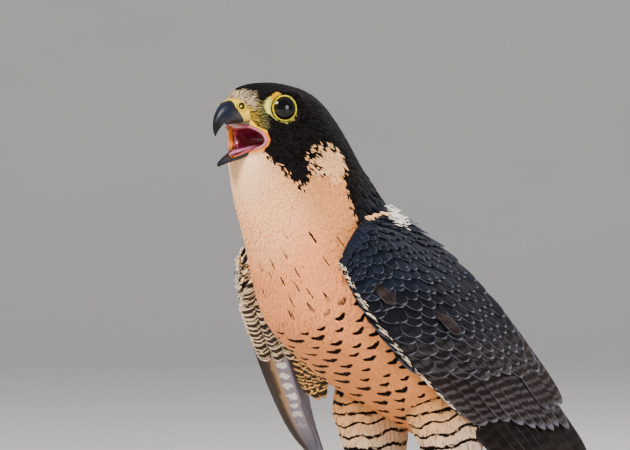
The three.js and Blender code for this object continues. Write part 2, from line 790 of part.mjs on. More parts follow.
function footSolid(leg) {
  const ankle = v3(leg.foot[0], leg.foot[1], leg.foot[2] - 2.5);
  const whole = fuse([ballAt(ankle, 7.4, 9), ...toes.map((toe) => toeSolid(leg, toe))]);
  return whole.trimByPlane([0, 0, 1], 0);
}

// A claw starts at the toe's end and curves up, forward and down to its point.
function clawSolid(leg, toe, grow) {
  const { origin, out } = toeFrame(leg, toe);
  const at = (reach, height) =>
    v3(origin.x, origin.y, 0).addScaledVector(out, toe.length + reach * toe.claw).setZ(height).toArray();
  const line = curveThrough([at(-0.12, 5.2), at(0.3, 7.6), at(0.72, 5.8), at(0.92, 1)]);
  return bar(line, (t) => [lerp(2.7, 0.35, t) + grow, lerp(3.1, 0.35, t) + grow], 5, 5);
}

// Materials

const finish = (colour, roughness, metalness = 0) =>
  new THREE.MeshStandardMaterial({ color: colour, roughness, metalness });
const looks = {
  crown: finish("#26262c", 0.75),
  buff: finish("#dcae88", 0.85),
  slate: finish("#3b404c", 0.7),
  trousers: finish("#cfb49a", 0.85),
  horn: finish("#3f5166", 0.35),
  cere: finish("#dcb52c", 0.5),
  mouth: finish("#7c2b45", 0.4),
  eye: finish("#0b0908", 0.08),
  scale: finish("#d9b23a", 0.55),
  claw: finish("#17151a", 0.3),
};

const falcon = new THREE.Group();

function place(name, solid, material) {
  const mesh = new THREE.Mesh(geometryOf(largest(solid)), material);
  mesh.name = name;
  falcon.add(mesh);
}

// Assembly

const sides = [1, -1];
const body = bodySolid(0);
const bodyRoom = bodySolid(gap);
const mouth = mouthSpace();
const eyeRoom = sides.flatMap((side) => [eyeSolid(side, gap), socketCut(side)]);
const gapeRoom = sides.map((side) => gapeSolid(side, gap));
const tongueRoom = tongueSolid(gap);
const jawRoom = lowerBill(gap);

const headBody = fuse([before(body, napeCut), ...sides.map(browSolid)]);
place("head", cutBy(headBody, [mouth, upperBill(gap), jawRoom, tongueRoom, ...gapeRoom, ...eyeRoom]), looks.crown);
place("neck", before(beyond(body, napeCut), shoulderCut), looks.buff);
place("torso", beyond(body, shoulderCut), looks.buff);

const upper = cutBy(upperBill(0), gapeRoom);
const hornStart = horncut();
const nostrils = sides.map(nostrilCut);
const cereBody = cutBy(before(upper, hornStart), nostrils);
place("cere", fuse([cereBody, ...sides.map(nostrilTubercle)]), looks.cere);
place("bill_upper", beyond(upper, hornStart), looks.horn);
place("bill_lower", cutBy(lowerBill(0), [tongueRoom, ...gapeRoom]), looks.horn);
place("tongue", cutBy(tongueSolid(0), gapeRoom), looks.mouth);

for (const side of sides) {
  const name = sideName(side);
  place("eye_" + name, eyeSolid(side, 0), looks.eye);
  place("eyelid_" + name, lidSolid(side, 0).subtract(eyeSolid(side, gap)), looks.cere);
  place("gape_" + name, gapeSolid(side, 0), looks.cere);
}

place("wing_left", wingSolid(leftWing, false, [bodyRoom]), looks.slate);
place("wing_right", wingSolid(rightWing, true, [bodyRoom]), looks.slate);
place("tail", tailSolid([bodyRoom]), looks.slate);

for (const [name, leg] of Object.entries(legs)) {
  const foot = footSolid(leg);
  const ankleRoom = ballAt(v3(leg.foot[0], leg.foot[1], leg.foot[2] - 2.5), 7.4 + gap, 9);
  const wingRoomHere = wingRoom(leg.side > 0 ? leftWing : rightWing);
  place("thigh_" + name, thighSolid(leg, [bodyRoom, wingRoomHere, tarsusSolid(leg, gap)]), looks.trousers);
  place("tarsus_" + name, cutBy(tarsusSolid(leg, 0), [ankleRoom, ...toes.map((toe) => toeSolid(leg, toe))]), looks.scale);
  place("foot_" + name, cutBy(foot, toes.map((toe) => clawSolid(leg, toe, gap))), looks.scale);
  for (const toe of toes) {
    place("claw_" + name + "_" + toe.name, clawSolid(leg, toe, 0), looks.claw);
  }
}

// The origin stands on the floor, under the middle of the bird's bounding box.
const box = new THREE.Box3().setFromObject(falcon);
const middle = box.getCenter(v3());
falcon.position.set(-middle.x, -middle.y, -box.min.z);

export default falcon;
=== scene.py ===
# A life-size peregrine falcon: skin, plumage, bill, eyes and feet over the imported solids.
import math

import bmesh
import bpy
import numpy as np
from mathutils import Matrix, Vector
from mathutils.kdtree import KDTree


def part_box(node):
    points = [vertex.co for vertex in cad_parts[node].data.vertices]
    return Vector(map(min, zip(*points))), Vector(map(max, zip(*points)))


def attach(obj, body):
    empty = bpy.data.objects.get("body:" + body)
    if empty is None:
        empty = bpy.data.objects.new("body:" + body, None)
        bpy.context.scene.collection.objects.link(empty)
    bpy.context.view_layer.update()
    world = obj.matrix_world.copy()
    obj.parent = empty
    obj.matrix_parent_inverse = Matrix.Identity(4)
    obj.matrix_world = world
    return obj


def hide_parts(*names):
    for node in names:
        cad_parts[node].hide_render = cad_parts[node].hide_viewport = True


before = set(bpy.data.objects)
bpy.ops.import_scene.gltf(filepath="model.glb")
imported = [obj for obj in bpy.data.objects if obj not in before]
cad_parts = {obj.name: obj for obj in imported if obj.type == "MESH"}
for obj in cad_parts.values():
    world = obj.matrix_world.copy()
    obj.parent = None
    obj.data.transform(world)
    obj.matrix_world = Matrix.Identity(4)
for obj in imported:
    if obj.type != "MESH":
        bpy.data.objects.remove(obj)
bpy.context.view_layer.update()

print("frame loaded:", len(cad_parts), "nodes")

# The head's turn and the eyes, in millimetres as in the solids. The bird faces -Y.
head = dict(turn=math.radians(8), pivotY=-66.0, twistLow=280.0, twistHigh=315.0, eyeY=-90.8, eyeZ=347.2)
eye = dict(radius=9.5, opening=7.25, side=18.8, forward=math.radians(20), lid=0.48, socket=8.5,
           dishDepth=1.1, dishSlope=2.0, dishEdge=12.5)
eyeDepth = math.sqrt(eye["radius"] ** 2 - eye["opening"] ** 2)


def mix(a, b, t):
    return a + (b - a) * t


def smooth(x, low, high):
    t = np.clip((np.asarray(x, float) - low) / (high - low), 0.0, 1.0)
    return t * t * (3 - 2 * t)


def unit(v):
    return v / (np.linalg.norm(v, axis=-1, keepdims=True) + 1e-12)


def through(points, t):  # a smooth curve through points, at t from 0 to 1
    points = np.asarray(points, float)
    t = np.clip(np.asarray(t, float), 0.0, 1.0) * (len(points) - 1)
    i = np.minimum(np.floor(t).astype(int), len(points) - 2)
    w = (t - i)[..., None]
    more = np.vstack([2 * points[0] - points[1], points, 2 * points[-1] - points[-2]])
    p0, p1, p2, p3 = more[i], more[i + 1], more[i + 2], more[i + 3]
    m1, m2 = (p2 - p0) / 2, (p3 - p1) / 2
    return p1 + m1 * w + (3 * (p2 - p1) - 2 * m1 - m2) * w ** 2 + (2 * (p1 - p2) + m1 + m2) * w ** 3


def turned(p):  # what lies above the neck turns about an upright line
    angle = head["turn"] * smooth(p[..., 2], head["twistLow"], head["twistHigh"])
    y = p[..., 1] - head["pivotY"]
    x = p[..., 0]
    return np.stack([x * np.cos(angle) - y * np.sin(angle),
                     head["pivotY"] + x * np.sin(angle) + y * np.cos(angle), p[..., 2]], -1)


def onHead(left, ahead, above):
    left, ahead, above = np.broadcast_arrays(*[np.asarray(v, float) for v in (left, ahead, above)])
    return turned(np.stack([left, head["eyeY"] - ahead, head["eyeZ"] + above], -1))


def eyeAxis(side):
    aim = onHead(side * math.cos(eye["forward"]), math.sin(eye["forward"]), 0) - onHead(0, 0, 0)
    return unit(aim)


def eyeCentre(side):
    return onHead(side * eye["side"], 0, 0) - eyeAxis(side) * eyeDepth


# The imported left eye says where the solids' own millimetres lie in the frame.
boxLow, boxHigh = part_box("eye_left")
shift = np.array((boxLow + boxHigh) / 2) * 1000 - eyeCentre(1)


def toFrame(points):
    return (np.asarray(points, float) + shift) * 0.001


def solidPlaces(mesh):  # a mesh's points, back in the solids' millimetres
    return np.array([v.co for v in mesh.vertices]) * 1000 - shift


def srgb(code):
    parts = np.array([int(code[i:i + 2], 16) for i in (1, 3, 5)]) / 255
    return np.where(parts <= 0.04045, parts / 12.92, ((parts + 0.055) / 1.055) ** 2.4)


# Surfaces: each takes u, v and a height over the surface, and gives points in millimetres.

# back y and z, breast y and z, half-width, and how much wider the section is above than below
body = np.array([
    (-117.2, 353.5, -116.4, 319, 6.5, 0.2), (-110.5, 359.5, -113.5, 311, 11.5, 0.25),
    (-97, 362.8, -111, 300, 18, 0.28), (-80, 362.6, -104.5, 284, 23.5, 0.2),
    (-60, 357, -97.5, 266, 29, 0.1), (-43, 340.5, -91, 250, 35, 0),
    (-28, 313.5, -84, 235, 45, 0), (-3, 285, -70, 211, 50, -0.2),
    (42, 243, -40, 186, 49.5, -0.34), (74, 200, 5, 157, 41, -0.3),
    (97, 171, 50, 138, 29, -0.1), (108, 153, 80, 138, 17, 0)])


def bodyBare(u, v):
    inside = np.clip(u, 0.0, 1.0)
    w = through(body, inside)
    past = (np.asarray(u) - inside)[..., None]
    w = w + past * (body[-1] - body[-2]) * (len(body) - 1)
    back, front = w[..., 0:2], w[..., 2:4]
    centre = (back + front) / 2
    sine, cosine = np.sin(v), np.cos(v)
    side = w[..., 4] * (1 + w[..., 5] * cosine) * np.sign(sine) * np.abs(sine) ** 0.8
    up = centre + (back - centre) * cosine[..., None]
    return np.stack([side, up[..., 0], up[..., 1]], -1)


def lifted(bare, u, v, height, sign=1.0):  # the bare surface moved out along its own normal
    here = bare(u, v)
    along = bare(u + 0.002, v) - bare(u - 0.002, v)
    across = bare(u, v + 0.006) - bare(u, v - 0.006)
    normal = unit(np.cross(across, along)) * sign
    return here + normal * np.asarray(height)[..., None], normal


brow = through([(12, 15, 6), (16.4, 8, 8), (18.6, -1, 9.2), (18.4, -10, 7.6)], np.linspace(0, 1, 24))
browRidge = dict(height=2.4, width=3.6)
# lores, cheek and chin: how far each stands out, its centre left, ahead and above, and its size
faceForms = [(-1.3, (15, 12.5, -3), 5), (1.6, (24, -8, -20), 11), (1.2, (14, 12, -31), 6)]


def headPlace(raw):  # distance from the middle, ahead of and above the eyes
    return np.abs(raw[..., 0]), head["eyeY"] - raw[..., 1], raw[..., 2] - head["eyeZ"]


def eyePlace(raw):  # distance along the eye's axis, out from it, and the direction, 0 ahead and up positive
    left, ahead, above = headPlace(raw)
    out, fore = math.cos(eye["forward"]), math.sin(eye["forward"])
    axial = (left - eye["side"]) * out + ahead * fore
    forward = ahead * out - (left - eye["side"]) * fore
    return axial, np.hypot(forward, above), np.arctan2(above, forward)


def bump(left, ahead, above, centre, size):
    away = ((left - centre[0]) ** 2 + (ahead - centre[1]) ** 2 + (above - centre[2]) ** 2) / size ** 2
    return np.exp(-away)


def bodyRaw(u, v, height):
    u, v, height = np.broadcast_arrays(u, v, np.asarray(height, float))
    left, ahead, above = headPlace(bodyBare(u, v))
    near = ahead > -30
    relief = np.zeros(u.shape)
    if near.any():
        spots = np.stack([left[near], ahead[near], above[near]], -1)
        toBrow = np.sqrt(((spots[:, None, :] - brow[None]) ** 2).sum(-1).min(1))
        forms = browRidge["height"] * np.exp(-(toBrow / browRidge["width"]) ** 2)
        for rise, centre, size in faceForms:
            forms = forms + rise * bump(*spots.T, centre, size)
        relief[near] = forms
    raw, _ = lifted(bodyBare, u, v, height + relief)
    axial, out, _ = eyePlace(raw)
    floor = (np.maximum(0, out - eye["socket"]) * eye["dishSlope"] - eye["dishDepth"]
             + np.clip(height, -0.5, 2) * 0.5)
    sunk = np.where((out < eye["dishEdge"]) & (axial > floor) & (axial > -12), floor - axial, 0)
    inward = np.stack([np.sign(raw[..., 0]) * math.cos(eye["forward"]) * sunk,
                       -math.sin(eye["forward"]) * sunk, 0 * sunk], -1)
    return raw + inward


def bodySurface(u, v, height):
    return turned(bodyRaw(u, v, height))


bodyLine = through(body, np.linspace(0, 1, 400))
bodyMiddle = (bodyLine[:, 0:2] + bodyLine[:, 2:4]) / 2
bodyRun = np.concatenate([[0], np.cumsum(np.linalg.norm(np.diff(bodyMiddle, axis=0), axis=1))])


def bodyReach(u):  # millimetres from the face along the body
    return np.interp(u, np.linspace(0, 1, 400), bodyRun)


def limbSurface(middle, size, up):
    def place(u, v, height):
        u, v, height = np.broadcast_arrays(u, v, np.asarray(height, float))
        here = through(middle, u)
        along = unit(through(middle, np.clip(u, 0, 0.98) + 0.02) - through(middle, np.clip(u, 0, 0.98)))
        here = here + along * (np.maximum(u - 1, 0) + np.minimum(u, 0))[..., None] * 110
        side = unit(np.cross(along, up))
        top = np.cross(side, along)
        wide, tall = size(u)
        return (here + side * ((wide + height) * np.cos(v))[..., None]
                + top * ((tall + height) * np.sin(v))[..., None])
    return place


class WingSurface:  # along runs from the wrist to the tip, across from the leading to the inner edge
    def __init__(self, side, lead, inner, bow, swell):
        self.side, self.lead, self.inner, self.bow, self.swell = side, lead, inner, bow, swell
        self.pose = "open" if side < 0 else "folded"

    def flat(self, along, across):
        before = np.minimum(np.asarray(along), 0.0)[..., None] * 50
        start = (through(self.lead, np.full(1, 0.02)) - through(self.lead, np.zeros(1))) * before
        sheet = mix(through(self.lead, along), through(self.inner, along), np.asarray(across)[..., None])
        return sheet + start

    def facing(self, along):
        t = np.clip(along, 0.02, 0.98)
        half = np.full(t.shape, 0.5)
        forward = self.flat(t + 0.02, half) - self.flat(t - 0.02, half)
        sideways = self.flat(t, half * 2) - self.flat(t, half * 0)
        return unit(np.cross(forward, sideways) * self.side)

    def at(self, along, across):
        inside = np.clip(across, 0, 1)
        bulge = mix(self.swell[0], self.swell[1], smooth(along, *self.swell[2:])) * smooth(along, -0.25, 0.12)
        bulge = bulge * 5.2 * inside * (1 - inside) ** 1.5
        ahead = self.bow * 4 * inside * (1 - inside) * (1 - smooth(along, 0, 0.25))
        nose = unit(self.flat(np.zeros(1), np.full(1, 0.5)) - self.flat(np.full(1, 0.15), np.full(1, 0.5)))
        return self.flat(along, across) + self.facing(along) * bulge[..., None] + nose * ahead[..., None]

    def normal(self, along, across):
        t = np.clip(along, 0.03, 0.97)
        sideways = self.at(along, across + 0.03) - self.at(along, across - 0.03)
        forward = self.at(t + 0.03, across) - self.at(t - 0.03, across)
        return unit(np.cross(forward, sideways) * self.side)

    def width(self, along):
        return np.linalg.norm(through(self.lead, along) - through(self.inner, along), axis=-1)

    def __call__(self, u, v, height):
        return self.at(u, v) + self.normal(u, v) * np.asarray(height)[..., None]


leftWing = WingSurface(
    1, lead=[(58, -73, 257), (63, -58, 230), (60.5, -25, 196), (55, 12, 167), (50, 48, 138.5), (49, 100, 96),
             (47, 165, 45)],
    inner=[(27, -6, 285), (22, 37, 257), (19, 76, 225), (16, 104, 194), (17, 130, 162), (29, 156, 118),
           (41, 184, 56)], bow=15, swell=(13, 2, 0.25, 0.95))
rightWing = WingSurface(
    -1, lead=[(-58, -72, 257), (-88, -55, 239), (-125, -22, 215), (-155, 6, 194), (-188, 36, 171),
              (-222, 70, 145), (-261, 112, 116)],
    inner=[(-27, -6, 285), (-26, 39, 258), (-30, 77, 228), (-40, 106, 198), (-54, 132, 172), (-74, 158, 150),
           (-100, 186, 130)], bow=12, swell=(8, 2, 0.2, 0.9))
wings = dict(left=leftWing, right=rightWing)

# how deep the arm is below, and where across the wing it deepens
arms = dict(open=dict(depth=22, deepens=(0.35, 0.9)), folded=dict(depth=16, deepens=(0.2, 0.7)))


def armSurface(wing):  # the fleshy arm, wrapped from its underside round the wrist to its upper side
    settings = arms[wing.pose]

    def bare(u, v):
        v = np.clip(v, 0.0, 1.0)
        a = np.abs(np.clip(u, 0, 1) - 0.5) * 2
        end = mix(0.30, 0.36, v)
        under = mix(3, settings["depth"], smooth(v, *settings["deepens"])) * (1 - 0.6 * a)
        top = -1.2 - 3.4 * smooth(a, 0.45, 1)
        low = top - 7 * (1 - 0.45 * smooth(a, 0.35, 1)) - under
        ends = np.sqrt(np.maximum(0.06, 1 - (2 * v - 1) ** 6))
        nose = np.sqrt(smooth(a, -0.02, 0.2))
        rise = mix(-3.5, np.where(u > 0.5, top, low), ends * nose)
        along = mix(0.012, end, a ** 1.3)
        across = mix(0.015, 0.985, v)
        return wing.at(along, across) + wing.normal(along, across) * rise[..., None]

    def place(u, v, height):
        u, v, height = np.broadcast_arrays(u, v, np.asarray(height, float))
        return lifted(bare, u, v, height, -wing.side)[0]
    return place


tailFan = dict(root=(0, 99, 164), slope=math.radians(47), length=172, spread=math.radians(5), width=22)


class TailSurface:
    side = 1

    def __call__(self, u, v, height):
        angle = mix(-tailFan["spread"], tailFan["spread"], v)
        out = u * tailFan["length"]
        sine, cosine = math.sin(tailFan["slope"]), math.cos(tailFan["slope"])
        x = np.sin(angle) * out + (v - 0.5) * tailFan["width"]
        lift = height - 5 * (2 * v - 1) ** 2
        y = cosine * out + sine * lift
        z = -sine * out + cosine * lift
        return np.stack([x, y, z], -1) + np.array(tailFan["root"])

    def width(self, along):
        return tailFan["width"] + 2 * math.sin(tailFan["spread"]) * along * tailFan["length"]


tailSurface = TailSurface()
print("surfaces ready")


# Meshes from arrays, and pieces from bmeshes

def layPoints(mesh, layers):  # values for each point: three make a vector and four a colour
    for label, values in layers.items():
        values = np.asarray(values, np.float32)
        kind, key = ("FLOAT_VECTOR", "vector") if values.shape[-1] == 3 else ("FLOAT_COLOR", "color")
        mesh.attributes.new(label, kind, "POINT").data.foreach_set(key, values.ravel())


def layBakeMap(mesh, uv):  # each corner gets the place of its point
    corners = np.empty(len(mesh.loops), np.int32)
    mesh.loops.foreach_get("vertex_index", corners)
    layer = mesh.uv_layers.new(name="OFBake")
    layer.uv.foreach_set("vector", uv[corners].astype(np.float32).ravel())


def linked(name, mesh, material):
    mesh.materials.append(material)
    piece = bpy.data.objects.new(name, mesh)
    bpy.context.scene.collection.objects.link(piece)
    return piece


def meshPiece(name, points, triangles, material, layers, bakeUv, smoothed):
    a, b, c = (points[triangles[:, k]] for k in range(3))
    if np.einsum("ij,ij->i", a, np.cross(b, c)).sum() < 0:
        triangles = triangles[:, ::-1]
    mesh = bpy.data.meshes.new(name)
    mesh.vertices.add(len(points))
    mesh.vertices.foreach_set("co", toFrame(points).astype(np.float32).ravel())
    mesh.loops.add(triangles.size)
    mesh.loops.foreach_set("vertex_index", triangles.astype(np.int32).ravel())
    mesh.polygons.add(len(triangles))
    mesh.polygons.foreach_set("loop_start", np.arange(0, triangles.size, 3, dtype=np.int32))
    mesh.update(calc_edges=True)
    layPoints(mesh, layers)
    layBakeMap(mesh, bakeUv)
    mesh.polygons.foreach_set("use_smooth", np.full(len(triangles), smoothed))
    return linked(name, mesh, material)


def moveTo(bm, spots):  # each point goes to its spot in the frame
    for vert, spot in zip(bm.verts, spots):
        vert.co = spot


def fillHoles(bm):
    bmesh.ops.holes_fill(bm, edges=[e for e in bm.edges if e.is_boundary], sides=0)


def gridMesh(name, across, along, place, material, close=True, caps=False, bake=False):
    # a grid whose points move onto a surface; place takes x and y from 0 to 1
    bm = bmesh.new()
    bmesh.ops.create_grid(bm, x_segments=across, y_segments=along, size=1)
    if bake:
        layer = bm.loops.layers.uv.new("OFBake")
        for face in bm.faces:
            for loop in face.loops:
                loop[layer].uv = (loop.vert.co.x / 2 + 0.5, loop.vert.co.y / 2 + 0.5)
    flat = np.array([v.co for v in bm.verts])
    moveTo(bm, toFrame(place((flat[:, 0] + 1) / 2, (flat[:, 1] + 1) / 2)))
    if close:
        bmesh.ops.remove_doubles(bm, verts=bm.verts, dist=2e-6)
    if caps:
        fillHoles(bm)
    return finished(bm, name, material)


def finished(bm, name, material):
    bmesh.ops.recalc_face_normals(bm, faces=bm.faces)
    mesh = bpy.data.meshes.new(name)
    for face in bm.faces:
        face.smooth = True
    bm.to_mesh(mesh)
    bm.free()
    return linked(name, mesh, material)


def redone(piece, bm):  # the piece takes its reworked mesh back
    bmesh.ops.recalc_face_normals(bm, faces=bm.faces)
    bm.to_mesh(piece.data)
    bm.free()


def settle(piece, slot, *nodes):
    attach(piece, "root")
    if nodes:
        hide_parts(*nodes)
    return piece


# Materials

class Paint:  # short calls for the nodes of one material
    def __init__(self, name, **settings):
        self.material = bpy.data.materials.new(name)
        self.material.use_nodes = True
        self.tree = self.material.node_tree
        self.shader = self.tree.nodes["Principled BSDF"]
        for socket, value in settings.items():
            self.shader.inputs[socket.replace("_", " ")].default_value = value

    def node(self, kind, **settings):
        node = self.tree.nodes.new("ShaderNode" + kind)
        for key, value in settings.items():
            setattr(node, key, value)
        return node

    def plug(self, source, socket):
        if isinstance(source, (int, float)):
            socket.default_value = source
        elif isinstance(source, (tuple, list, np.ndarray)):
            values = list(source)
            socket.default_value = values + [1.0] if len(values) == 3 and socket.type == "RGBA" else values
        else:
            self.tree.links.new(source, socket)

    def math(self, operation, *values, clamp=False):
        node = self.node("Math", operation=operation, use_clamp=clamp)
        for i, value in enumerate(values):
            self.plug(value, node.inputs[i])
        return node.outputs[0]

    def times(self, a, b, clamp=False):
        return self.math("MULTIPLY", a, b, clamp=clamp)

    def plus(self, a, b):
        return self.math("ADD", a, b)

    def scaled(self, value, factor, offset):
        return self.math("MULTIPLY_ADD", value, factor, offset)

    def off(self, value, centre):
        return self.math("SUBTRACT", value, centre)

    def range(self, value, low, high, start=0.0, end=1.0):
        node = self.node("MapRange", interpolation_type="SMOOTHSTEP")
        for i, item in enumerate((value, low, high, start, end)):
            self.plug(item, node.inputs[i])
        return node.outputs[0]

    def blend(self, amount, a, b, mode="MIX"):
        node = self.node("Mix", data_type="RGBA", blend_type=mode)
        self.plug(amount, node.inputs["Factor"])
        self.plug(a, node.inputs[6])
        self.plug(b, node.inputs[7])
        return node.outputs[2]

    def attribute(self, label):
        return self.node("Attribute", attribute_type="GEOMETRY", attribute_name=label)

    def split(self, vector):
        node = self.node("SeparateXYZ")
        self.plug(vector, node.inputs[0])
        return node.outputs

    def join(self, x, y, z=0.0):
        node = self.node("CombineXYZ")
        for i, value in enumerate((x, y, z)):
            self.plug(value, node.inputs[i])
        return node.outputs[0]

    def place(self):
        return self.node("TexCoord").outputs["Object"]

    def noise(self, scale, detail=3.0, vector=None, rough=0.5):
        node = self.node("TexNoise")
        self.plug(vector if vector is not None else self.place(), node.inputs["Vector"])
        node.inputs["Scale"].default_value = scale
        node.inputs["Detail"].default_value = detail
        node.inputs["Roughness"].default_value = rough
        return node.outputs["Fac"]

    def cells(self, scale):
        node = self.node("TexVoronoi")
        self.plug(self.place(), node.inputs["Vector"])
        node.inputs["Scale"].default_value = scale
        return node.outputs["Distance"]

    def chance(self, vector):
        node = self.node("TexWhiteNoise", noise_dimensions="3D")
        self.plug(vector, node.inputs["Vector"])
        return self.split(node.outputs["Color"])

    def bump(self, height, strength, distance=0.001):
        node = self.node("Bump")
        node.inputs["Strength"].default_value = strength
        node.inputs["Distance"].default_value = distance
        self.plug(height, node.inputs["Height"])
        self.plug(node.outputs[0], self.shader.inputs["Normal"])

    def colour(self, value):
        self.plug(value, self.shader.inputs["Base Color"])


plumage = dict(
    dark="#0b0908", spot="#f2ece4", shaft="#0d0b0a", lighter=(0.055, 0.048, 0.05, 1),
    paler=(0.135, 0.135, 0.165, 1),
    rowStep=8.5, cellWidth=14.0, slipAcross=3.5, slipAlong=2.4, smallest=0.68, spread=0.55, missing=0.55,
    barStep=8.6, barWave=8.0, barbs=160.0, barbLean=-30.0, grain=2600.0)


def plumageMaterial():
    # tone: the feather's own colour; vane: place on the feather; lie: place on the body in mm
    # marks: strength of drops and arrows, bars, pale fringe, pale spots; shape: the marks' size
    paint = Paint("plumage", Roughness=0.6, Sheen_Weight=0.01, Sheen_Roughness=0.4, Specular_IOR_Level=0.04)
    tone = paint.attribute("tone").outputs["Color"]
    edge, along, seed = paint.split(paint.attribute("vane").outputs["Vector"])
    lieX, lieY, bend = paint.split(paint.attribute("lie").outputs["Vector"])
    marks = paint.attribute("marks")
    arrows, bars, fringe = paint.split(marks.outputs["Color"])
    spots = marks.outputs["Alpha"]
    halfAcross, halfAlong, hook = paint.split(paint.attribute("shape").outputs["Vector"])
    side = paint.math("ABSOLUTE", edge)

    # drops, arrows and short bars in staggered rows over the breast, belly and flanks
    rowStep, cellWidth = plumage["rowStep"], plumage["cellWidth"]
    row = paint.math("FLOOR", paint.math("DIVIDE", lieY, rowStep))
    slid = paint.plus(lieX, paint.times(paint.math("MODULO", row, 2.0), cellWidth / 2))
    column = paint.math("FLOOR", paint.math("DIVIDE", slid, cellWidth))
    luck = paint.chance(paint.join(column, row, 3.0))
    cellX = paint.scaled(paint.off(luck[0], 0.5), plumage["slipAcross"],
                         paint.scaled(column, cellWidth, cellWidth / 2))
    cellY = paint.scaled(paint.off(luck[1], 0.5), plumage["slipAlong"],
                         paint.scaled(row, rowStep, rowStep / 2))
    dx = paint.math("ABSOLUTE", paint.off(slid, cellX))
    dy = paint.math("ABSOLUTE", paint.scaled(dx, hook, paint.off(lieY, cellY)))
    size = paint.scaled(luck[2], plumage["spread"], plumage["smallest"])
    wide = paint.math("DIVIDE", dx, paint.times(halfAcross, size))
    tall = paint.math("DIVIDE", dy, paint.times(halfAlong, size))
    away = paint.plus(paint.math("POWER", wide, 2.5), paint.math("POWER", tall, 2.0))
    straight = paint.math("LESS_THAN", hook, 0.1)  # the streaks, of which many are left out
    kept = paint.math("GREATER_THAN", luck[1], paint.times(straight, plumage["missing"]))
    drop = paint.times(paint.range(away, 1.25, 0.7), paint.times(arrows, kept))

    # bars across the feather or the limb, wavy and a little broken
    wave = paint.noise(0.16, 2.0, paint.join(lieX, lieY, seed))
    run = paint.scaled(paint.math("ABSOLUTE", lieX), bend, lieY)
    run = paint.scaled(wave, plumage["barWave"], run)
    phase = paint.math("FRACT", paint.math("DIVIDE", run, plumage["barStep"]))
    band = paint.math("ABSOLUTE", paint.off(phase, 0.5))
    bar = paint.times(paint.range(band, paint.times(halfAcross, 0.2), paint.times(halfAcross, 0.12)), bars)
    worn = paint.noise(0.30, 2.0, paint.join(lieX, lieY, 7.0))
    bar = paint.times(bar, paint.range(worn, 0.30, 0.42))
    darkness = paint.math("MAXIMUM", drop, bar, clamp=True)

    # flight feathers carry paler bars, given by a negative strength, and ovals on the inner vane
    pale = paint.times(paint.range(band, 0.34, 0.08), paint.times(bars, -1.0), clamp=True)
    pale = paint.times(pale, paint.range(side, 0.05, 0.3, 0.55, 1.0))
    ovalAcross = paint.math("POWER", paint.math("DIVIDE", paint.off(edge, 0.28), 0.42), 2.0)
    ovalAlong = paint.math("POWER", paint.math("DIVIDE", band, 0.3), 2.0)
    oval = paint.range(paint.plus(ovalAcross, ovalAlong), 1.2, 0.6)
    oval = paint.times(oval, paint.times(spots, paint.range(along, 0.86, 0.66)))

    # barbs, grain, painted shade towards the root where the next feathers cover it, and a pale worn rim
    barbs = paint.math("SINE", paint.scaled(along, plumage["barbs"], paint.times(side, plumage["barbLean"])))
    grain = paint.noise(plumage["grain"], 2.0)
    shade = paint.scaled(barbs, 0.03, paint.scaled(grain, 0.22, 0.89))
    # painted shade: each feather darkens towards its root, under the feathers beyond it
    shade = paint.times(shade, paint.range(along, 0.0, 0.7, 0.8, 1.0))
    shade = paint.times(shade, paint.scaled(seed, 0.3, 0.85))
    rim = paint.math("MAXIMUM", paint.range(side, 0.80, 0.94), paint.range(along, 0.95, 0.975))
    frayed = paint.noise(0.35, 2.0, paint.join(lieX, lieY, seed))
    rim = paint.times(rim, paint.range(frayed, 0.28, 0.5, 0.45, 1.0))
    rim = paint.times(rim, paint.range(along, 0.35, 0.7))
    shaft = paint.times(paint.range(side, 0.07, 0.03), paint.math("ABSOLUTE", fringe))

    colour = paint.blend(pale, tone, paint.blend(1.0, tone, plumage["lighter"], "ADD"))
    colour = paint.blend(oval, colour, srgb(plumage["spot"]))
    colour = paint.blend(darkness, colour, srgb(plumage["dark"]))
    colour = paint.blend(paint.times(shaft, 0.6), colour, srgb(plumage["shaft"]))
    colour = paint.blend(paint.times(rim, fringe, clamp=True), colour,
                         paint.blend(1.0, tone, plumage["paler"], "ADD"))
    tint = paint.node("CombineColor")
    for i in range(3):
        paint.plug(shade, tint.inputs[i])
    paint.colour(paint.blend(1.0, colour, tint.outputs[0], "MULTIPLY"))
    paint.bump(paint.scaled(barbs, 0.5, grain), 0.2, 0.0002)
    return paint.material


def hornMaterial():
    paint = Paint("bill_horn", Roughness=0.4, Coat_Weight=0.05, Coat_Roughness=0.3, Specular_IOR_Level=0.2)
    tip, low, _ = paint.split(paint.attribute("horn").outputs["Vector"])
    mottle = paint.noise(260.0, 5.0)
    streak = paint.noise(420.0, 4.0, rough=0.7)
    colour = paint.blend(paint.range(tip, 0.26, 0.56), srgb("#191815"), srgb("#041026"))
    colour = paint.blend(paint.range(tip, 0.58, 0.82), colour, srgb("#020203"))
    edgePale = paint.times(paint.range(low, 0.5, 0.05), paint.range(tip, 0.8, 0.5))
    colour = paint.blend(paint.times(edgePale, 0.75), colour, srgb("#2e281f"))
    blotch = paint.times(paint.range(mottle, 0.5, 0.7), paint.range(tip, 0.7, 0.4, 0.0, 0.5))
    paint.colour(paint.blend(blotch, colour, srgb("#34241c")))
    paint.bump(paint.plus(streak, mottle), 0.22, 0.0004)
    return paint.material


def bareSkinMaterial(name, main, second, scale=900.0, rough=0.42):
    paint = Paint(name, Roughness=rough, Coat_Weight=0.06, Coat_Roughness=0.35, Specular_IOR_Level=0.3,
                  Subsurface_Weight=0.08, Subsurface_Scale=0.002, Subsurface_Radius=(1.0, 0.5, 0.2))
    patches = paint.noise(230.0, 3.0)
    pores = paint.cells(scale)
    colour = paint.blend(paint.range(patches, 0.38, 0.66), srgb(main), srgb(second))
    paint.colour(paint.blend(paint.times(paint.range(pores, 0.35, 0.75), 0.35), colour, srgb("#6d5a1c")))
    paint.bump(paint.plus(pores, paint.noise(500.0, 3.0)), 0.4, 0.0003)
    return paint.material


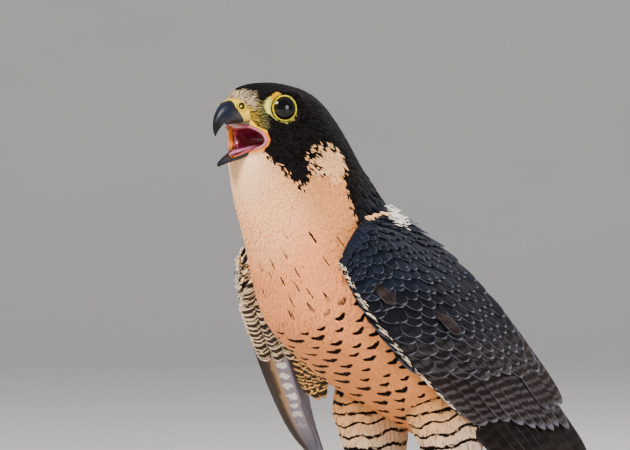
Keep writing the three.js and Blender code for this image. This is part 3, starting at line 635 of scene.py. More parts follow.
def mouthMaterial(name, main, second, deep):
    paint = Paint(name, Roughness=0.22, Coat_Weight=0.6, Coat_Roughness=0.12, Subsurface_Weight=0.2,
                  Subsurface_Scale=0.003)
    folds = paint.noise(190.0, 3.0)
    fine = paint.noise(700.0, 4.0)
    colour = paint.blend(paint.range(folds, 0.36, 0.62), srgb(main), srgb(second))
    paint.colour(paint.blend(paint.times(paint.range(fine, 0.42, 0.64), 0.5), colour, srgb(deep)))
    paint.bump(paint.plus(folds, paint.times(fine, 0.4)), 0.5, 0.0012)
    return paint.material


def eyeMaterial():
    paint = Paint("eye", Roughness=0.04, IOR=1.36)
    around, out, _ = paint.split(paint.attribute("iris").outputs["Vector"])
    rays = paint.noise(9.0, 4.0, paint.join(paint.times(around, 5.0), paint.times(out, 0.4)))
    iris = paint.blend(rays, srgb("#0b0604"), srgb("#1c100a"))
    colour = paint.blend(paint.range(out, 0.52, 0.56), srgb("#010102"), iris)
    paint.colour(paint.blend(paint.range(out, 0.66, 0.72), colour, srgb("#030202")))
    return paint.material


def clawMaterial():
    paint = Paint("claw_horn", Roughness=0.28, Coat_Weight=0.3, Coat_Roughness=0.2)
    streak = paint.noise(420.0, 5.0)
    paint.colour(paint.blend(paint.range(streak, 0.35, 0.7), srgb("#0e0c0f"), srgb("#2b2526")))
    paint.bump(streak, 0.15, 0.0003)
    return paint.material


def legMaterial():
    paint = Paint("leg_scales", Roughness=0.45, Coat_Weight=0.1, Coat_Roughness=0.3)
    crease = paint.split(paint.attribute("scales").outputs["Vector"])[0]
    patches = paint.noise(160.0, 4.0)
    colour = paint.blend(paint.range(patches, 0.35, 0.65), srgb("#d9b32c"), srgb("#c99a1f"))
    # painted shade: the creases between the scales are darkened towards #7d621c
    paint.colour(paint.blend(paint.times(paint.range(crease, 0.45, 0.05), 0.7), colour, srgb("#7d621c")))
    paint.bump(paint.noise(1500.0, 3.0), 0.25, 0.0002)
    return paint.material


def floorMaterial():
    paint = Paint("floor", Roughness=0.75)
    paint.colour(paint.blend(paint.noise(3.0, 3.0), srgb("#cfcac4"), srgb("#d6d2cc")))
    paint.bump(paint.noise(90.0, 4.0), 0.05, 0.001)
    return paint.material


coatPaint = plumageMaterial()
hornPaint = hornMaterial()
cerePaint = bareSkinMaterial("cere_skin", "#f0cc00", "#d8ae08")
lidPaint = bareSkinMaterial("eyelid_skin", "#d6c400", "#c4b414", 1300.0)
gapePaint = bareSkinMaterial("gape_skin", "#dc7c00", "#cf7010", 700.0, 0.3)
foldPaint = bareSkinMaterial("gape_fold_skin", "#a8608a", "#b87a70", 500.0, 0.25)
mouthPaint = mouthMaterial("mouth_lining", "#8e2148", "#a8464a", "#3a0c20")
tonguePaint = mouthMaterial("tongue_skin", "#c47f9c", "#b05f84", "#8c3a5c")
eyePaint = eyeMaterial()
clawPaint = clawMaterial()
legPaint = legMaterial()
print("materials ready")


# Feathers

def featherShape(sections, widths, across):
    # a closed lens-shaped blade of unit length, from a root point through rings to a tip point
    tops = np.linspace(-1, 1, across)
    edge = np.concatenate([tops, tops[-2:0:-1]])
    face = np.concatenate([np.ones(across), -np.ones(across - 2)])
    swell = 1 - edge ** 2
    k, rings = len(edge), len(sections)
    s = np.concatenate([[0.0], np.repeat(sections, k), [1.0]])
    e = np.concatenate([[0.0], np.outer(widths, edge).ravel(), [0.0]])
    lens = np.concatenate([[0.0], np.tile(swell * face, rings), [0.0]])
    arch = np.concatenate([[0.0], np.outer(widths, swell).ravel(), [0.0]])
    place = np.concatenate([[0.0], np.tile(edge, rings), [0.0]])
    j = np.arange(k)
    nxt = (j + 1) % k
    faces = [np.stack([np.zeros(k, int), 1 + nxt, 1 + j], -1)]
    for i in range(rings - 1):
        a, b = 1 + i * k + j, 1 + i * k + nxt
        faces += [np.stack([a, b, b + k], -1), np.stack([a, b + k, a + k], -1)]
    last = 1 + (rings - 1) * k
    faces.append(np.stack([last + j, last + nxt, np.full(k, last + k)], -1))
    return dict(s=s, e=e, lens=lens, arch=arch, place=place, faces=np.concatenate(faces))


tuftShape = featherShape([0.28, 0.62, 0.86], [0.85, 1.0, 0.5], 3)
scaleShape = featherShape([0.2, 0.45, 0.68, 0.86, 0.96], [0.75, 1.0, 1.0, 0.82, 0.45], 5)
plateShape = featherShape([0.15, 0.35, 0.55, 0.7, 0.8, 0.87, 0.92, 0.955, 0.98],
                          [0.7, 0.95, 1.0, 1.0, 0.95, 0.84, 0.7, 0.5, 0.3], 7)
quillShape = featherShape(
    [0.03, 0.1, 0.18, 0.26, 0.34, 0.42, 0.5, 0.58, 0.66, 0.73, 0.79, 0.84, 0.885, 0.92, 0.95, 0.972, 0.988],
    [0.3, 0.62, 0.84, 0.94, 0.99, 1.0, 1.0, 1.0, 1.0, 0.985, 0.96, 0.92, 0.85, 0.76, 0.63, 0.48, 0.3], 9)


def coatPiece(name, points, count, shape, marks, bakeRoot, slot, patch=0.0015):
    size = len(shape["s"])
    faces = (shape["faces"][None] + (np.arange(count) * size)[:, None, None]).reshape(-1, 3)

    def spread(values):  # one value for each feather, given to all its points
        values = np.asarray(values)
        return np.broadcast_to(values[:, None], (count, size) + values.shape[1:])
    s, e = (np.broadcast_to(shape[key][None], (count, size)) for key in ("s", "place"))
    tone = marks["tone"] if marks["tone"].ndim == 3 else spread(marks["tone"])
    layers = dict(tone=np.concatenate([tone, np.ones((count, size, 1))], -1),
                  vane=np.stack([e, s, spread(marks["seed"])], -1),
                  lie=np.stack([marks["lieX"], marks["lieY"], spread(marks["bend"])], -1),
                  marks=spread(marks["marks"]), shape=spread(marks["shape"]))
    uv = bakeRoot[:, None, :] + patch * np.stack([e, 2 * s - 1], -1)
    piece = meshPiece(name, points.reshape(-1, 3), faces, coatPaint, layers, uv.reshape(-1, 2),
                      shape is not tuftShape)
    settle(piece, slot)
    print(name, count, "feathers,", len(faces), "triangles")


def tufts(surface, roots, shape):
    # feathers laid along u from their roots, turned by swirl and bent over the surface
    u0, v0 = roots["u"], roots["v"]
    along = (surface(u0 + 0.003, v0, 0.0) - surface(u0 - 0.003, v0, 0.0)) / 0.006
    across = (surface(u0, v0 + 0.004, 0.0) - surface(u0, v0 - 0.004, 0.0)) / 0.008
    a = np.linalg.norm(along, axis=-1)
    ahead = along / a[:, None]
    b = (across * ahead).sum(-1)
    c = np.linalg.norm(across - ahead * b[:, None], axis=-1)
    s, e = shape["s"][None], shape["e"][None]
    x, y = s * roots["length"][:, None], e * roots["half"][:, None]
    sine, cosine = np.sin(roots["swirl"])[:, None], np.cos(roots["swirl"])[:, None]
    back, aside = x * cosine - y * sine, x * sine + y * cosine
    dv = aside / c[:, None]
    du = (back - dv * b[:, None]) / a[:, None] * roots.get("sense", 1.0)
    height = (mix(roots["low"][:, None], roots["high"][:, None], s ** roots.get("climb", 0.6))
              + shape["lens"][None] * roots["thick"] / 2
              + shape["arch"][None] * roots["half"][:, None] * roots["arch"])
    points = surface((u0[:, None] + du).ravel(), (v0[:, None] + dv).ravel(), height.ravel())
    return points, x, y, u0[:, None] + du, v0[:, None] + dv


def vanes(surface, row, shape, flip=1.0):
    # long feathers whose places are given along and across the surface
    s, e = shape["s"][None], shape["e"][None]
    along = mix(row["start"][:, None], row["stop"][:, None], s)
    width = surface.width(along)
    across = row["across"][:, None] + row["drift"][:, None] * s + e * row["half"][:, None] / width
    climb = row.get("climb", 1.6)
    climbed = np.minimum(1, s * climb) if climb > 1 else s ** 1.5
    rise = mix(row["lift"][0], row["lift"][1], climbed) + row["tilt"][:, None] * e
    # the shaft stands out on both faces, off the middle
    beside = np.exp(-((shape["place"][None] + 0.3) / 0.16) ** 2)
    shaft = 0.22 * beside * np.sign(shape["lens"][None]) * (1 - s)
    rise = rise + flip * (shape["lens"][None] * row["thick"] / 2 + shaft
                          + shape["arch"][None] * row["half"][:, None] * row["arch"])
    return surface(along, across, rise).reshape(-1, 3)


rng = np.random.default_rng(417)  # all chance comes from here, in the order of the pieces


def mildSeed(n):
    return 0.5 + 0.3 * (rng.random(n) - 0.5)


# Markings of the body, shared by the skin and the coat. u runs from face to tail; turnAway is 0 on the
# back and 180 on the breast.
hoodEdge = [
    (-0.1, 0), (0.08, 0), (0.092, 12), (0.132, 33), (0.132, 60), (0.19, 84), (0.205, 94), (0.186, 110),
    (0.234, 109), (0.293, 107), (0.367, 104.5), (0.373, 99), (0.363, 91), (0.349, 87), (0.343, 77),
    (0.405, 66), (0.441, 64), (0.465, 68), (0.491, 74), (0.519, 80), (0.56, 80), (0.585, 70), (0.60, 60),
    (0.66, 66), (0.85, 78), (1.2, 88), (1.2, -30), (-0.1, -30)]
cheekEdge = [
    (0.33, 84), (0.345, 76), (0.405, 63), (0.445, 60), (0.464, 64), (0.458, 78), (0.42, 84), (0.36, 92)]
# corner is painted shade on the bare skin beneath the upper bill's edge
bodyDyes = dict(
    chin="#ffd2a4", neck="#f8b480", breast="#ea965f", belly="#df9054", vent="#b88c50", side="#c4844c",
    hood="#0d0b0b", mantle="#181b24", forehead="#b9a486", lores="#7d7a50", crescent="#dcd468",
    stripe="#e4ac08", yellow="#eab808", tuft="#f6eee2", cheek="#e6ae78", jaw="#cf7408", corner="#54493c",
    leg="#dcc6a8")
# half across and half along in mm, and how steeply a mark's arms bend
markSizes = dict(streak=np.array([0.55, 7.0, 0.0]), arrow=np.array([4.0, 1.8, 0.4]),
                 flank=np.array([6.4, 2.4, 0.55]))


def turnFromBack(v):
    return np.degrees(np.arccos(np.clip(np.cos(v), -1, 1)))


def insideOutline(x, y, outline):
    outline = np.asarray(outline, float)
    hit = np.zeros(np.shape(x), bool)
    for (x1, y1), (x2, y2) in zip(outline, np.roll(outline, -1, axis=0)):
        crosses = (y1 > y) != (y2 > y)
        with np.errstate(divide="ignore", invalid="ignore"):
            hit ^= crosses & (x < (x2 - x1) * (y - y1) / (y2 - y1 + 1e-12) + x1)
    return hit


def bodyMarks(u, v, raw, ragged=1.0):
    # colour and pattern at each place of the body
    n = len(u)
    draws = rng.random((n, 4))
    hair, strength = draws[:, 2:3], draws[:, 3:4]
    turnAway = turnFromBack(v)
    wobbleU = u + (draws[:, 0] - 0.5) * 0.016 * ragged
    wobbleA = turnAway + (draws[:, 1] - 0.5) * 6 * ragged
    dye = {key: srgb(code) for key, code in bodyDyes.items()}
    _, ahead, above = headPlace(raw)

    # the pale front, from the chin to the vent
    t = u[:, None]
    front = mix(dye["chin"], dye["neck"], smooth(t, 0.15, 0.32))
    front = mix(front, dye["breast"], smooth(t, 0.34, 0.5))
    front = mix(front, dye["belly"], smooth(t, 0.56, 0.78))
    front = mix(front, dye["vent"], smooth(t, 0.9, 1.0))
    onSide = (smooth(turnAway, 125, 95) * (1 - smooth(u, 0.5, 0.62)))[:, None]
    tone = mix(front, dye["side"], onSide * 0.8)

    # the dark hood and mantle, with the cheek's patch let in
    hood = insideOutline(wobbleU, wobbleA, hoodEdge) | (
        (ahead > -4) & (above > -17) & (turnAway > 60) & (turnAway < 125) & (u < 0.2))
    tone = np.where(hood[:, None], mix(dye["hood"], dye["mantle"], smooth(t, 0.5, 0.64)), tone)
    cheek = insideOutline(wobbleU, wobbleA, cheekEdge)
    tone = np.where(cheek[:, None], dye["cheek"], tone)
    tone = np.where(cheek[:, None] & (hair < 0.5 * smooth(t, 0.42, 0.35)), dye["hood"], tone)

    # the forehead and the olive lores, both with dark hairs
    forehead = ~hood & (wobbleU < 0.14) & (turnAway < 62)
    tone = np.where(forehead[:, None], dye["forehead"], tone)
    darkHair = hair < 0.30 + 7.0 * np.maximum(0, t - 0.06)
    tone = np.where(forehead[:, None] & darkHair, tone * 0.14, tone)
    lores = (wobbleU > 0.07) & (wobbleU < 0.185) & (wobbleA > 50) & (wobbleA < 94)
    atFront = smooth(ahead, 12, 21)[:, None]
    olive = mix(dye["lores"] * 0.42, dye["yellow"] * 0.5, atFront * 0.55)
    olive = np.where(hair < 0.22 + 0.38 * (1 - atFront), olive * 0.22, olive)
    paleHair = hair > 1 - 0.6 * atFront * smooth(above, -4, 4)[:, None]
    olive = np.where(paleHair, dye["forehead"] * 0.8, olive)
    tone = np.where(lores[:, None], olive, tone)

    # pale flecks behind the eye
    behindEye = ((ahead + 12.3) / 3.4) ** 2 + ((above + 4.2) / 1.7) ** 2 < 1
    fleck = behindEye & (turnAway <= 150) & (ahead <= -4) & (u < 0.3)
    tone = np.where(fleck[:, None] & (hair < 0.5), dye["tuft"] * 0.6, tone)
    tone = tone * (1 + 0.14 * (strength - 0.5))
    tone = np.where((hood & ~cheek)[:, None], tone * (0.4 + 1.6 * strength), tone)

    # streaks on the upper breast, and arrows below them, larger on the flank
    plain = hood | cheek | forehead | lores
    below = smooth(turnAway, 92, 106)
    streaks = smooth(u, 0.36, 0.46) * (1 - smooth(u, 0.575, 0.60)) * below
    arrows = smooth(u, 0.60 - 0.02 * smooth(turnAway, 160, 120), 0.62) * below
    marks = np.zeros((n, 4))
    marks[:, 0] = np.maximum(streaks, arrows) * ~plain
    onFlank = smooth(turnAway, 140, 112) * smooth(u, 0.6, 0.66)
    arrow = mix(markSizes["arrow"], markSizes["flank"], onFlank[:, None])
    shape = mix(markSizes["streak"], arrow, smooth(t, 0.57, 0.61))
    return tone, marks, shape, turnAway, plain


# Where the face is bare: round the eye, on the cere and about the mouth.
mouthEdge = [(50, -9.5), (27, -8.6), (19.5, -9.6), (14.4, -12.4), (11.4, -19.2), (12.8, -23.4), (17.4, -26),
             (30, -33), (50, -43)]
# the bare ring's width, and where it widens: by how much, at which turn round the eye, and how far
bareRing = dict(width=7.7, wider=[(8.4, 0.10, 0.60), (3.4, 0.92, 0.42)])


def bareFace(raw, grow=0.0):
    _, ahead, above = headPlace(raw)
    axial, out, turn = eyePlace(raw)
    ring = bareRing["width"]
    for rise, centre, spread in bareRing["wider"]:
        ring = ring + rise * np.exp(-((turn - centre) / spread) ** 2)
    nearEye = (out < ring + grow) & (axial > -9)
    border = 18.6 + 4.4 * smooth(above, -12, -4) + 6 * smooth(above, -2, 7)
    nearCere = (ahead > border - grow) & (above > -13)
    inMouth = insideOutline(ahead + grow * 0.5, above, mouthEdge)
    jaw = (ahead > 14) & (above > -23.5 - (ahead - 10) * 0.43) & (above < -20)
    return nearEye | nearCere | inMouth | jaw


def bodyRoots(settings):  # roots in staggered rings, from the face towards the tail
    us, vs = [], []
    u, rowIndex = settings["start"], 0
    ring = np.linspace(0, 2 * math.pi, 181)
    while u < settings["stop"]:
        loop = bodySurface(np.full(181, u), ring, 0.0)
        run = np.concatenate([[0], np.cumsum(np.linalg.norm(np.diff(loop, axis=0), axis=1))])
        count = max(8, int(run[-1] / settings["acrossStep"](u)))
        places = (np.arange(count) + (rowIndex % 2) * 0.5 + rng.uniform(-0.3, 0.3, count)) / count
        vs.append(np.interp((places % 1.0) * run[-1], run, ring))
        speed = np.linalg.norm(loop[45] - bodySurface(np.array([u + 0.01]), ring[45:46], 0.0)[0]) / 0.01
        step = settings["alongStep"](u) / speed
        us.append(u + rng.uniform(-0.4, 0.4, count) * step)
        u += step
        rowIndex += 1
    u, v = np.concatenate(us), np.concatenate(vs)
    low, high = settings.get("turns", (-1, 181))
    kept = (turnFromBack(v) > low) & (turnFromBack(v) < high)
    return u[kept], v[kept]


bodyLength = 330.0  # about what u spans, in mm
bodyGirth = 45.0  # mm for each radian of v


def bodyBake(u, v):
    return np.stack([v / (2 * math.pi), np.clip(u, 0, 1) * 0.7], -1)


def coatOfBody(name, slot, settings):
    shape = settings.get("shape", tuftShape)
    u, v = bodyRoots(settings)
    raw = bodyRaw(u, v, 0.0)
    shown = ~bareFace(raw, 0.4)
    u, v, raw = u[shown], v[shown], raw[shown]
    n = len(u)
    length = settings["length"](u) * rng.uniform(0.85, 1.15, n)
    # a feather is coloured for the place where it shows, beyond its root
    seen = np.interp(bodyReach(u) + 0.65 * length, bodyRun, np.linspace(0, 1, 400))
    tone, marks, form, _, plain = bodyMarks(seen, v, bodyRaw(seen, v, 0.0))
    _, out, _ = eyePlace(raw)
    length = length * mix(0.45, 1.0, smooth(out, 8, 20))
    overBare = bareFace(bodyRaw(u + length / bodyLength, v, 0.0), -0.6)
    length = np.where(overBare, length * 0.5, length)
    roots = dict(u=u, v=v, length=length, half=settings["half"](u) * rng.uniform(0.85, 1.2, n),
                 swirl=rng.normal(0, settings["stray"], n), low=-coatDepth(u) - settings["rooted"],
                 high=rng.uniform(0.0, settings["lift"], n), thick=settings["thick"], arch=settings["arch"],
                 climb=settings.get("climb", 0.45))
    points, _, _, atU, atV = tufts(bodySurface, roots, shape)
    lieX = (atV - math.pi) * bodyGirth + rng.uniform(-0.2, 0.2, (n, 1))
    lieY = bodyReach(atU.ravel()).reshape(atU.shape) + rng.uniform(-0.2, 0.2, (n, 1))
    if settings.get("fringe"):
        marks[:, 2] = settings["fringe"] * plain * smooth(u, 0.56, 0.64)
    data = dict(seed=mildSeed(n), tone=tone, lieX=lieX, lieY=lieY, bend=np.zeros(n), marks=marks, shape=form)
    coatPiece(name, points, n, shape, data, bodyBake(u, v), slot)


# The skin of the head, neck, torso and thighs, one piece, with the mouth cut into it
skinDepth = dict(face=0.7, neck=2.2, trunk=3.6)
thighs = dict(
    left=dict(side=1, hip=(27, 16, 190), knee=(28, 31, 142), heel=(28, 38, 72), foot=(28, 16, 12)),
    right=dict(side=-1, hip=(-27, 3, 186), knee=(-28, 12, 138), heel=(-28, 17, 72), foot=(-28, -5, 12)))


def coatDepth(u):
    upper = mix(skinDepth["face"], skinDepth["neck"], smooth(u, 0.2, 0.4))
    return mix(upper, skinDepth["trunk"], smooth(u, 0.4, 0.6))


def thighGirth(u):
    girth = mix(23.5, 9.5, smooth(u, 0.2, 1)) * np.sqrt(smooth(u, -0.3, 0.3))
    return girth * 0.86, girth * 1.08


def thighSurface(leg):
    return limbSurface([leg["hip"], leg["knee"], leg["heel"]], thighGirth, np.array([0.0, 1.0, 0.0]))


def applied(piece):
    graph = bpy.context.evaluated_depsgraph_get()
    mesh = bpy.data.meshes.new_from_object(piece.evaluated_get(graph))
    piece.modifiers.clear()
    piece.data = mesh


def boolean(piece, other, operation):
    step = piece.modifiers.new(operation.lower(), "BOOLEAN")
    step.operation, step.object, step.solver, step.material_mode = operation, other, "EXACT", "TRANSFER"
    applied(piece)
    bpy.data.objects.remove(other)


def mouthCutter():  # the gap between the jaws, cut right through from side to side
    outline = [(50, -10.5), (27, -9.6), (19.5, -10.8), (14.6, -13.6), (11.6, -16.6), (10.6, -19.2),
               (11, -21.4), (12.4, -23), (18, -25.4), (30, -31.6), (50, -42)]
    bm = bmesh.new()
    face = bm.faces.new([bm.verts.new(toFrame(onHead(-40, a, z))) for a, z in outline])
    made = bmesh.ops.extrude_face_region(bm, geom=[face])
    moved = toFrame(onHead(40, 0, 0)) - toFrame(onHead(-40, 0, 0))
    far = [g for g in made["geom"] if isinstance(g, bmesh.types.BMVert)]
    bmesh.ops.translate(bm, verts=far, vec=Vector(moved))
    return finished(bm, "mouth_gap", mouthPaint)


throat = dict(centre=(11, -18.4), wide=13, deep=15, tall=6.6)


def throatCutter():
    bm = bmesh.new()
    bmesh.ops.create_uvsphere(bm, u_segments=40, v_segments=26, radius=1)
    x, y, z = np.array([v.co for v in bm.verts]).T
    fold = 1 + 0.05 * np.sin(x * 19) * (1 - np.abs(x)) + 0.03 * np.sin(y * 23)
    ahead, above = throat["centre"]
    moveTo(bm, toFrame(onHead(x * throat["wide"] * fold, ahead - y * throat["deep"],
                              above + z * throat["tall"] * fold)))
    return finished(bm, "throat", mouthPaint)


def makeSkin():
    def bodyPlace(x, y):
        return bodySurface(y, x * 2 * math.pi, -coatDepth(y))
    skin = gridMesh("skin", 132, 200, bodyPlace, coatPaint, caps=True)
    for name, leg in thighs.items():
        surface = thighSurface(leg)

        def thighPlace(x, y, surface=surface):
            return surface(y * 1.02 - 0.01, x * 2 * math.pi, -3.0 * smooth(y, 0.1, 0.4))
        boolean(skin, gridMesh("thigh_" + name, 48, 60, thighPlace, coatPaint, caps=True), "UNION")
    boolean(skin, mouthCutter(), "DIFFERENCE")
    boolean(skin, throatCutter(), "DIFFERENCE")
    return skin


def nearestBody(points):
    # u and v of the body's surface nearest to each point, and how far off it is
    us, vs = np.meshgrid(np.linspace(0, 1, 241), np.linspace(0, 2 * math.pi, 181), indexing="ij")
    us, vs = us.ravel(), vs.ravel()
    table = bodySurface(us, vs, -2.0)
    tree = KDTree(len(table))
    for i, p in enumerate(table):
        tree.insert(p, i)
    tree.balance()
    found = [tree.find(p) for p in points]
    index = np.array([f[1] for f in found])
    return us[index], vs[index], np.array([f[2] for f in found])


def dressSkin(skin):
    p = solidPlaces(skin.data)
    u, v, far = nearestBody(p)
    raw = bodyRaw(u, v, 0.0)
    tone, marks, form, _, _ = bodyMarks(u, v, raw, 0.3)
    onLeg = far > 5
    tone[onLeg] = srgb(bodyDyes["leg"])
    # painted shade: the skin under the coat takes the coat's colours at 0.6, darker where it shows between
    # the feathers
    tone *= 0.6
    bare = bareFace(raw, 0.6) & ~onLeg
    _, out, turn = eyePlace(raw)
    _, ahead, above = headPlace(raw)
    tone[bare] = srgb(bodyDyes["yellow"])
    # painted shade: the bare skin low under the upper bill, where the horn overhangs it, is dark grey-brown
    tone[bare & (ahead > 21) & (above < -3)] = srgb(bodyDyes["corner"])
    tone[~bare & ~onLeg & (ahead > 4) & (above > -22) & (above < -6)] = srgb(bodyDyes["hood"])
    tone[bare & (above < -20)] = srgb(bodyDyes["jaw"])
    tone[bare & (out < 17) & (above > -9)] = srgb(bodyDyes["crescent"])
    tone[bare & (out < 17) & (turn > 0.6) & (above > 0)] = srgb(bodyDyes["stripe"])
    marks[onLeg | bare] = 0
    n = len(p)
    lie = np.stack([(v - math.pi) * bodyGirth, bodyReach(u), np.zeros(n)], -1)
    layPoints(skin.data, dict(tone=np.concatenate([tone, np.ones((n, 1))], -1),
                              vane=np.tile([0.0, 0.8, 0.5], (n, 1)), lie=lie, marks=marks, shape=form))
    layBakeMap(skin.data, bodyBake(u, v))


skin = makeSkin()
dressSkin(skin)
settle(skin, "breast", "head", "neck", "torso", "thigh_left", "thigh_right")
print("skin", len(skin.data.polygons), "faces")


# The coat of the head, neck, breast and back, from start to stop along the body. turns gives the reach
# round it, rooted how far below the skin the roots lie, lift how far a tip may stand off.
def rising(*pairs):  # a value along the body, from pairs of place and value
    places, values = zip(*pairs)
    return lambda u: np.interp(u, places, values)


coatOfBody("coat_face", "crown", dict(
    start=0.012, stop=0.165, alongStep=rising((0, 0.52), (0.15, 0.8)),
    acrossStep=rising((0, 0.37), (0.15, 0.58)),
    length=rising((0, 3.2), (0.1, 4.6), (0.16, 5.2)), half=rising((0, 0.2), (0.1, 0.28), (0.16, 0.42)),
    rooted=0.4, stray=0.12, lift=0.12, thick=0.10, arch=0.04, climb=0.6))
coatOfBody("coat_head", "crown", dict(
    start=0.162, stop=0.38, alongStep=rising((0.15, 1.1), (0.38, 1.7)),
    acrossStep=rising((0.15, 0.85), (0.38, 1.2)),
    length=rising((0.15, 4.6), (0.25, 6.2), (0.38, 9)), half=rising((0.15, 0.6), (0.38, 1.15)),
    rooted=0.4, stray=0.08, lift=0.12, thick=0.14, arch=0.03, climb=0.8))
coatOfBody("coat_neck", "breast", dict(
    start=0.372, stop=0.55, alongStep=rising((0.36, 1.8), (0.52, 2.2)),
    acrossStep=rising((0.36, 1.2), (0.52, 1.5)),
    length=rising((0.36, 9), (0.52, 12)), half=rising((0.36, 1.2), (0.52, 1.7)),
    rooted=0.5, stray=0.05, lift=0.07, thick=0.10, arch=0.02))
coatOfBody("coat_breast", "breast", dict(
    start=0.545, stop=0.70, alongStep=rising((0.5, 2.2), (1, 2.6)), acrossStep=rising((0.5, 1.5), (1, 1.7)),
    length=rising((0.5, 12), (0.7, 14)), half=rising((0.5, 1.7), (1, 2.1)),
    rooted=0.6, stray=0.05, lift=0.07, thick=0.10, arch=0.02, turns=(66, 181)))
coatOfBody("coat_belly", "breast", dict(
    start=0.698, stop=1.0, alongStep=rising((0.5, 2.3), (1, 2.8)), acrossStep=rising((0.5, 1.5), (1, 1.9)),
    length=rising((0.7, 14), (1, 17)), half=rising((0.5, 1.7), (1, 2.3)),
    rooted=0.6, stray=0.06, lift=0.10, thick=0.12, arch=0.02, turns=(66, 181)))
coatOfBody("coat_back", "slate", dict(
    start=0.53, stop=1.03, alongStep=rising((0.48, 3.0), (0.6, 4.5), (1, 6.5)),
    acrossStep=rising((0.48, 2.6), (0.6, 4.0), (1, 6.0)),
    length=rising((0.48, 12), (0.6, 17), (1, 26)), half=rising((0.48, 2.2), (0.6, 4.0), (1, 6.5)),
    rooted=0.4, stray=0.07, lift=0.5, thick=0.4, arch=0.1, fringe=0.6, turns=(-1, 76), shape=scaleShape))


# Trousers
trousers = dict(rows=44, columns=50, length=18.0, half=1.9, rooted=3.6, tone="#d2baa0", flank="#d89a5e",
                girth=30, legLength=107, barWidth=0.84)


def makeTrousers(name, leg):
    us, vs = [], []
    for i, u in enumerate(np.linspace(0.02, 1.0, trousers["rows"])):
        columns = int(trousers["columns"] * (1.5 - 0.7 * u))
        places = (np.arange(columns) + 0.5 * (i % 2) + rng.uniform(-0.3, 0.3, columns)) / columns
        us.append(u + rng.uniform(-0.012, 0.012, columns))
        vs.append(places * 2 * math.pi)
    u, v = np.concatenate(us), np.concatenate(vs)
    n = len(u)
    length = trousers["length"] * rng.uniform(0.8, 1.15, n) * mix(0.8, 1.15, u)
    roots = dict(u=u, v=v, length=length, half=np.full(n, trousers["half"]) * rng.uniform(0.8, 1.2, n),
                 swirl=rng.normal(0, 0.10, n), low=np.full(n, -trousers["rooted"]),
                 high=rng.uniform(0.1, 0.9, n), thick=0.35, arch=0.1)
    points, _, _, atU, atV = tufts(thighSurface(leg), roots, tuftShape)
    tone = mix(srgb(trousers["flank"]), srgb(trousers["tone"]), smooth(u, 0.05, 0.45)[:, None])
    tone = tone * (0.95 + 0.1 * rng.random((n, 1)))
    lieX = np.abs(((atV / math.pi) % 2 - 1) * trousers["girth"]) + 4
    lieY = atU * trousers["legLength"] + 0.9 * np.sin(lieX * 0.8) + rng.uniform(-0.35, 0.35, (n, 1))
    data = dict(seed=mildSeed(n), tone=tone, lieX=lieX, lieY=lieY, bend=np.zeros(n),
                marks=np.tile([0.0, 1.0, 0.0, 0.0], (n, 1)), shape=np.full((n, 3), trousers["barWidth"]))
    uv = np.stack([(v / (2 * math.pi) % 1) * 0.48 + (0.0 if leg["side"] > 0 else 0.51), 0.72 + u * 0.25], -1)
    coatPiece("trousers_" + name, points, n, tuftShape, data, uv, "trousers")


for name, leg in thighs.items():
    makeTrousers(name, leg)


# Wings
def wingRow(count, across, start, stop, half, lift, thick=0.6, drift=(0, 0), lean=1.0, arch=0.06,
            jitter=0.006):
    t = np.linspace(0, 1, count)
    across = np.asarray(across, float)
    places = mix(across[0], across[-1], t) if len(across) < 3 else across
    return dict(across=places + rng.uniform(-0.3, 0.3, count) * jitter, start=mix(start[0], start[-1], t),
                stop=np.interp(t, np.linspace(0, 1, len(stop)), stop) + rng.uniform(-1, 1, count) * jitter,
                half=mix(half[0], half[-1], t), lift=lift, thick=thick, drift=mix(drift[0], drift[-1], t),
                arch=arch, tilt=np.full(count, -lean * 0.6))


wingLength = 330.0  # from the wrist to the tip, in mm


def wingFeathers(wing, row, shape, dye, marks, flip=1.0, patternScale=1.0, bend=0.35, bold=1.0, under=None,
                 slide=8.0):
    points = vanes(wing, row, shape, flip)
    n = len(row["across"])
    tone = np.tile(srgb(dye), (n, 1)) * rng.uniform(0.85, 1.2, (n, 1))
    tone = under(tone, shape) if under else np.repeat(tone[:, None, :], len(shape["s"]), 1)
    lengths = (row["stop"] - row["start"])[:, None] * wingLength
    lieY = (shape["s"][None] - 1) * lengths * patternScale + 7.8 + rng.uniform(-0.5, 0.5, (n, 1)) * slide
    lieX = np.broadcast_to(shape["e"][None] * row["half"][:, None], lieY.shape)
    marks = np.broadcast_to(np.asarray(marks, float), (n, 4))
    data = dict(seed=rng.random(n), tone=tone, lieX=lieX, lieY=lieY, bend=np.full(n, bend), marks=marks,
                shape=np.full((n, 3), bold))
    uv = np.stack([np.clip(row["across"], 0.01, 0.99), np.clip(row["start"], 0.01, 0.99)], -1)
    return points, data, uv


def joinedWing(name, batches, shape, slot="slate"):
    points, datas, uvs = zip(*batches)
    data = {key: np.concatenate([d[key] for d in datas]) for key in datas[0]}
    coatPiece(name, np.concatenate(points), len(data["seed"]), shape, data, np.concatenate(uvs), slot)


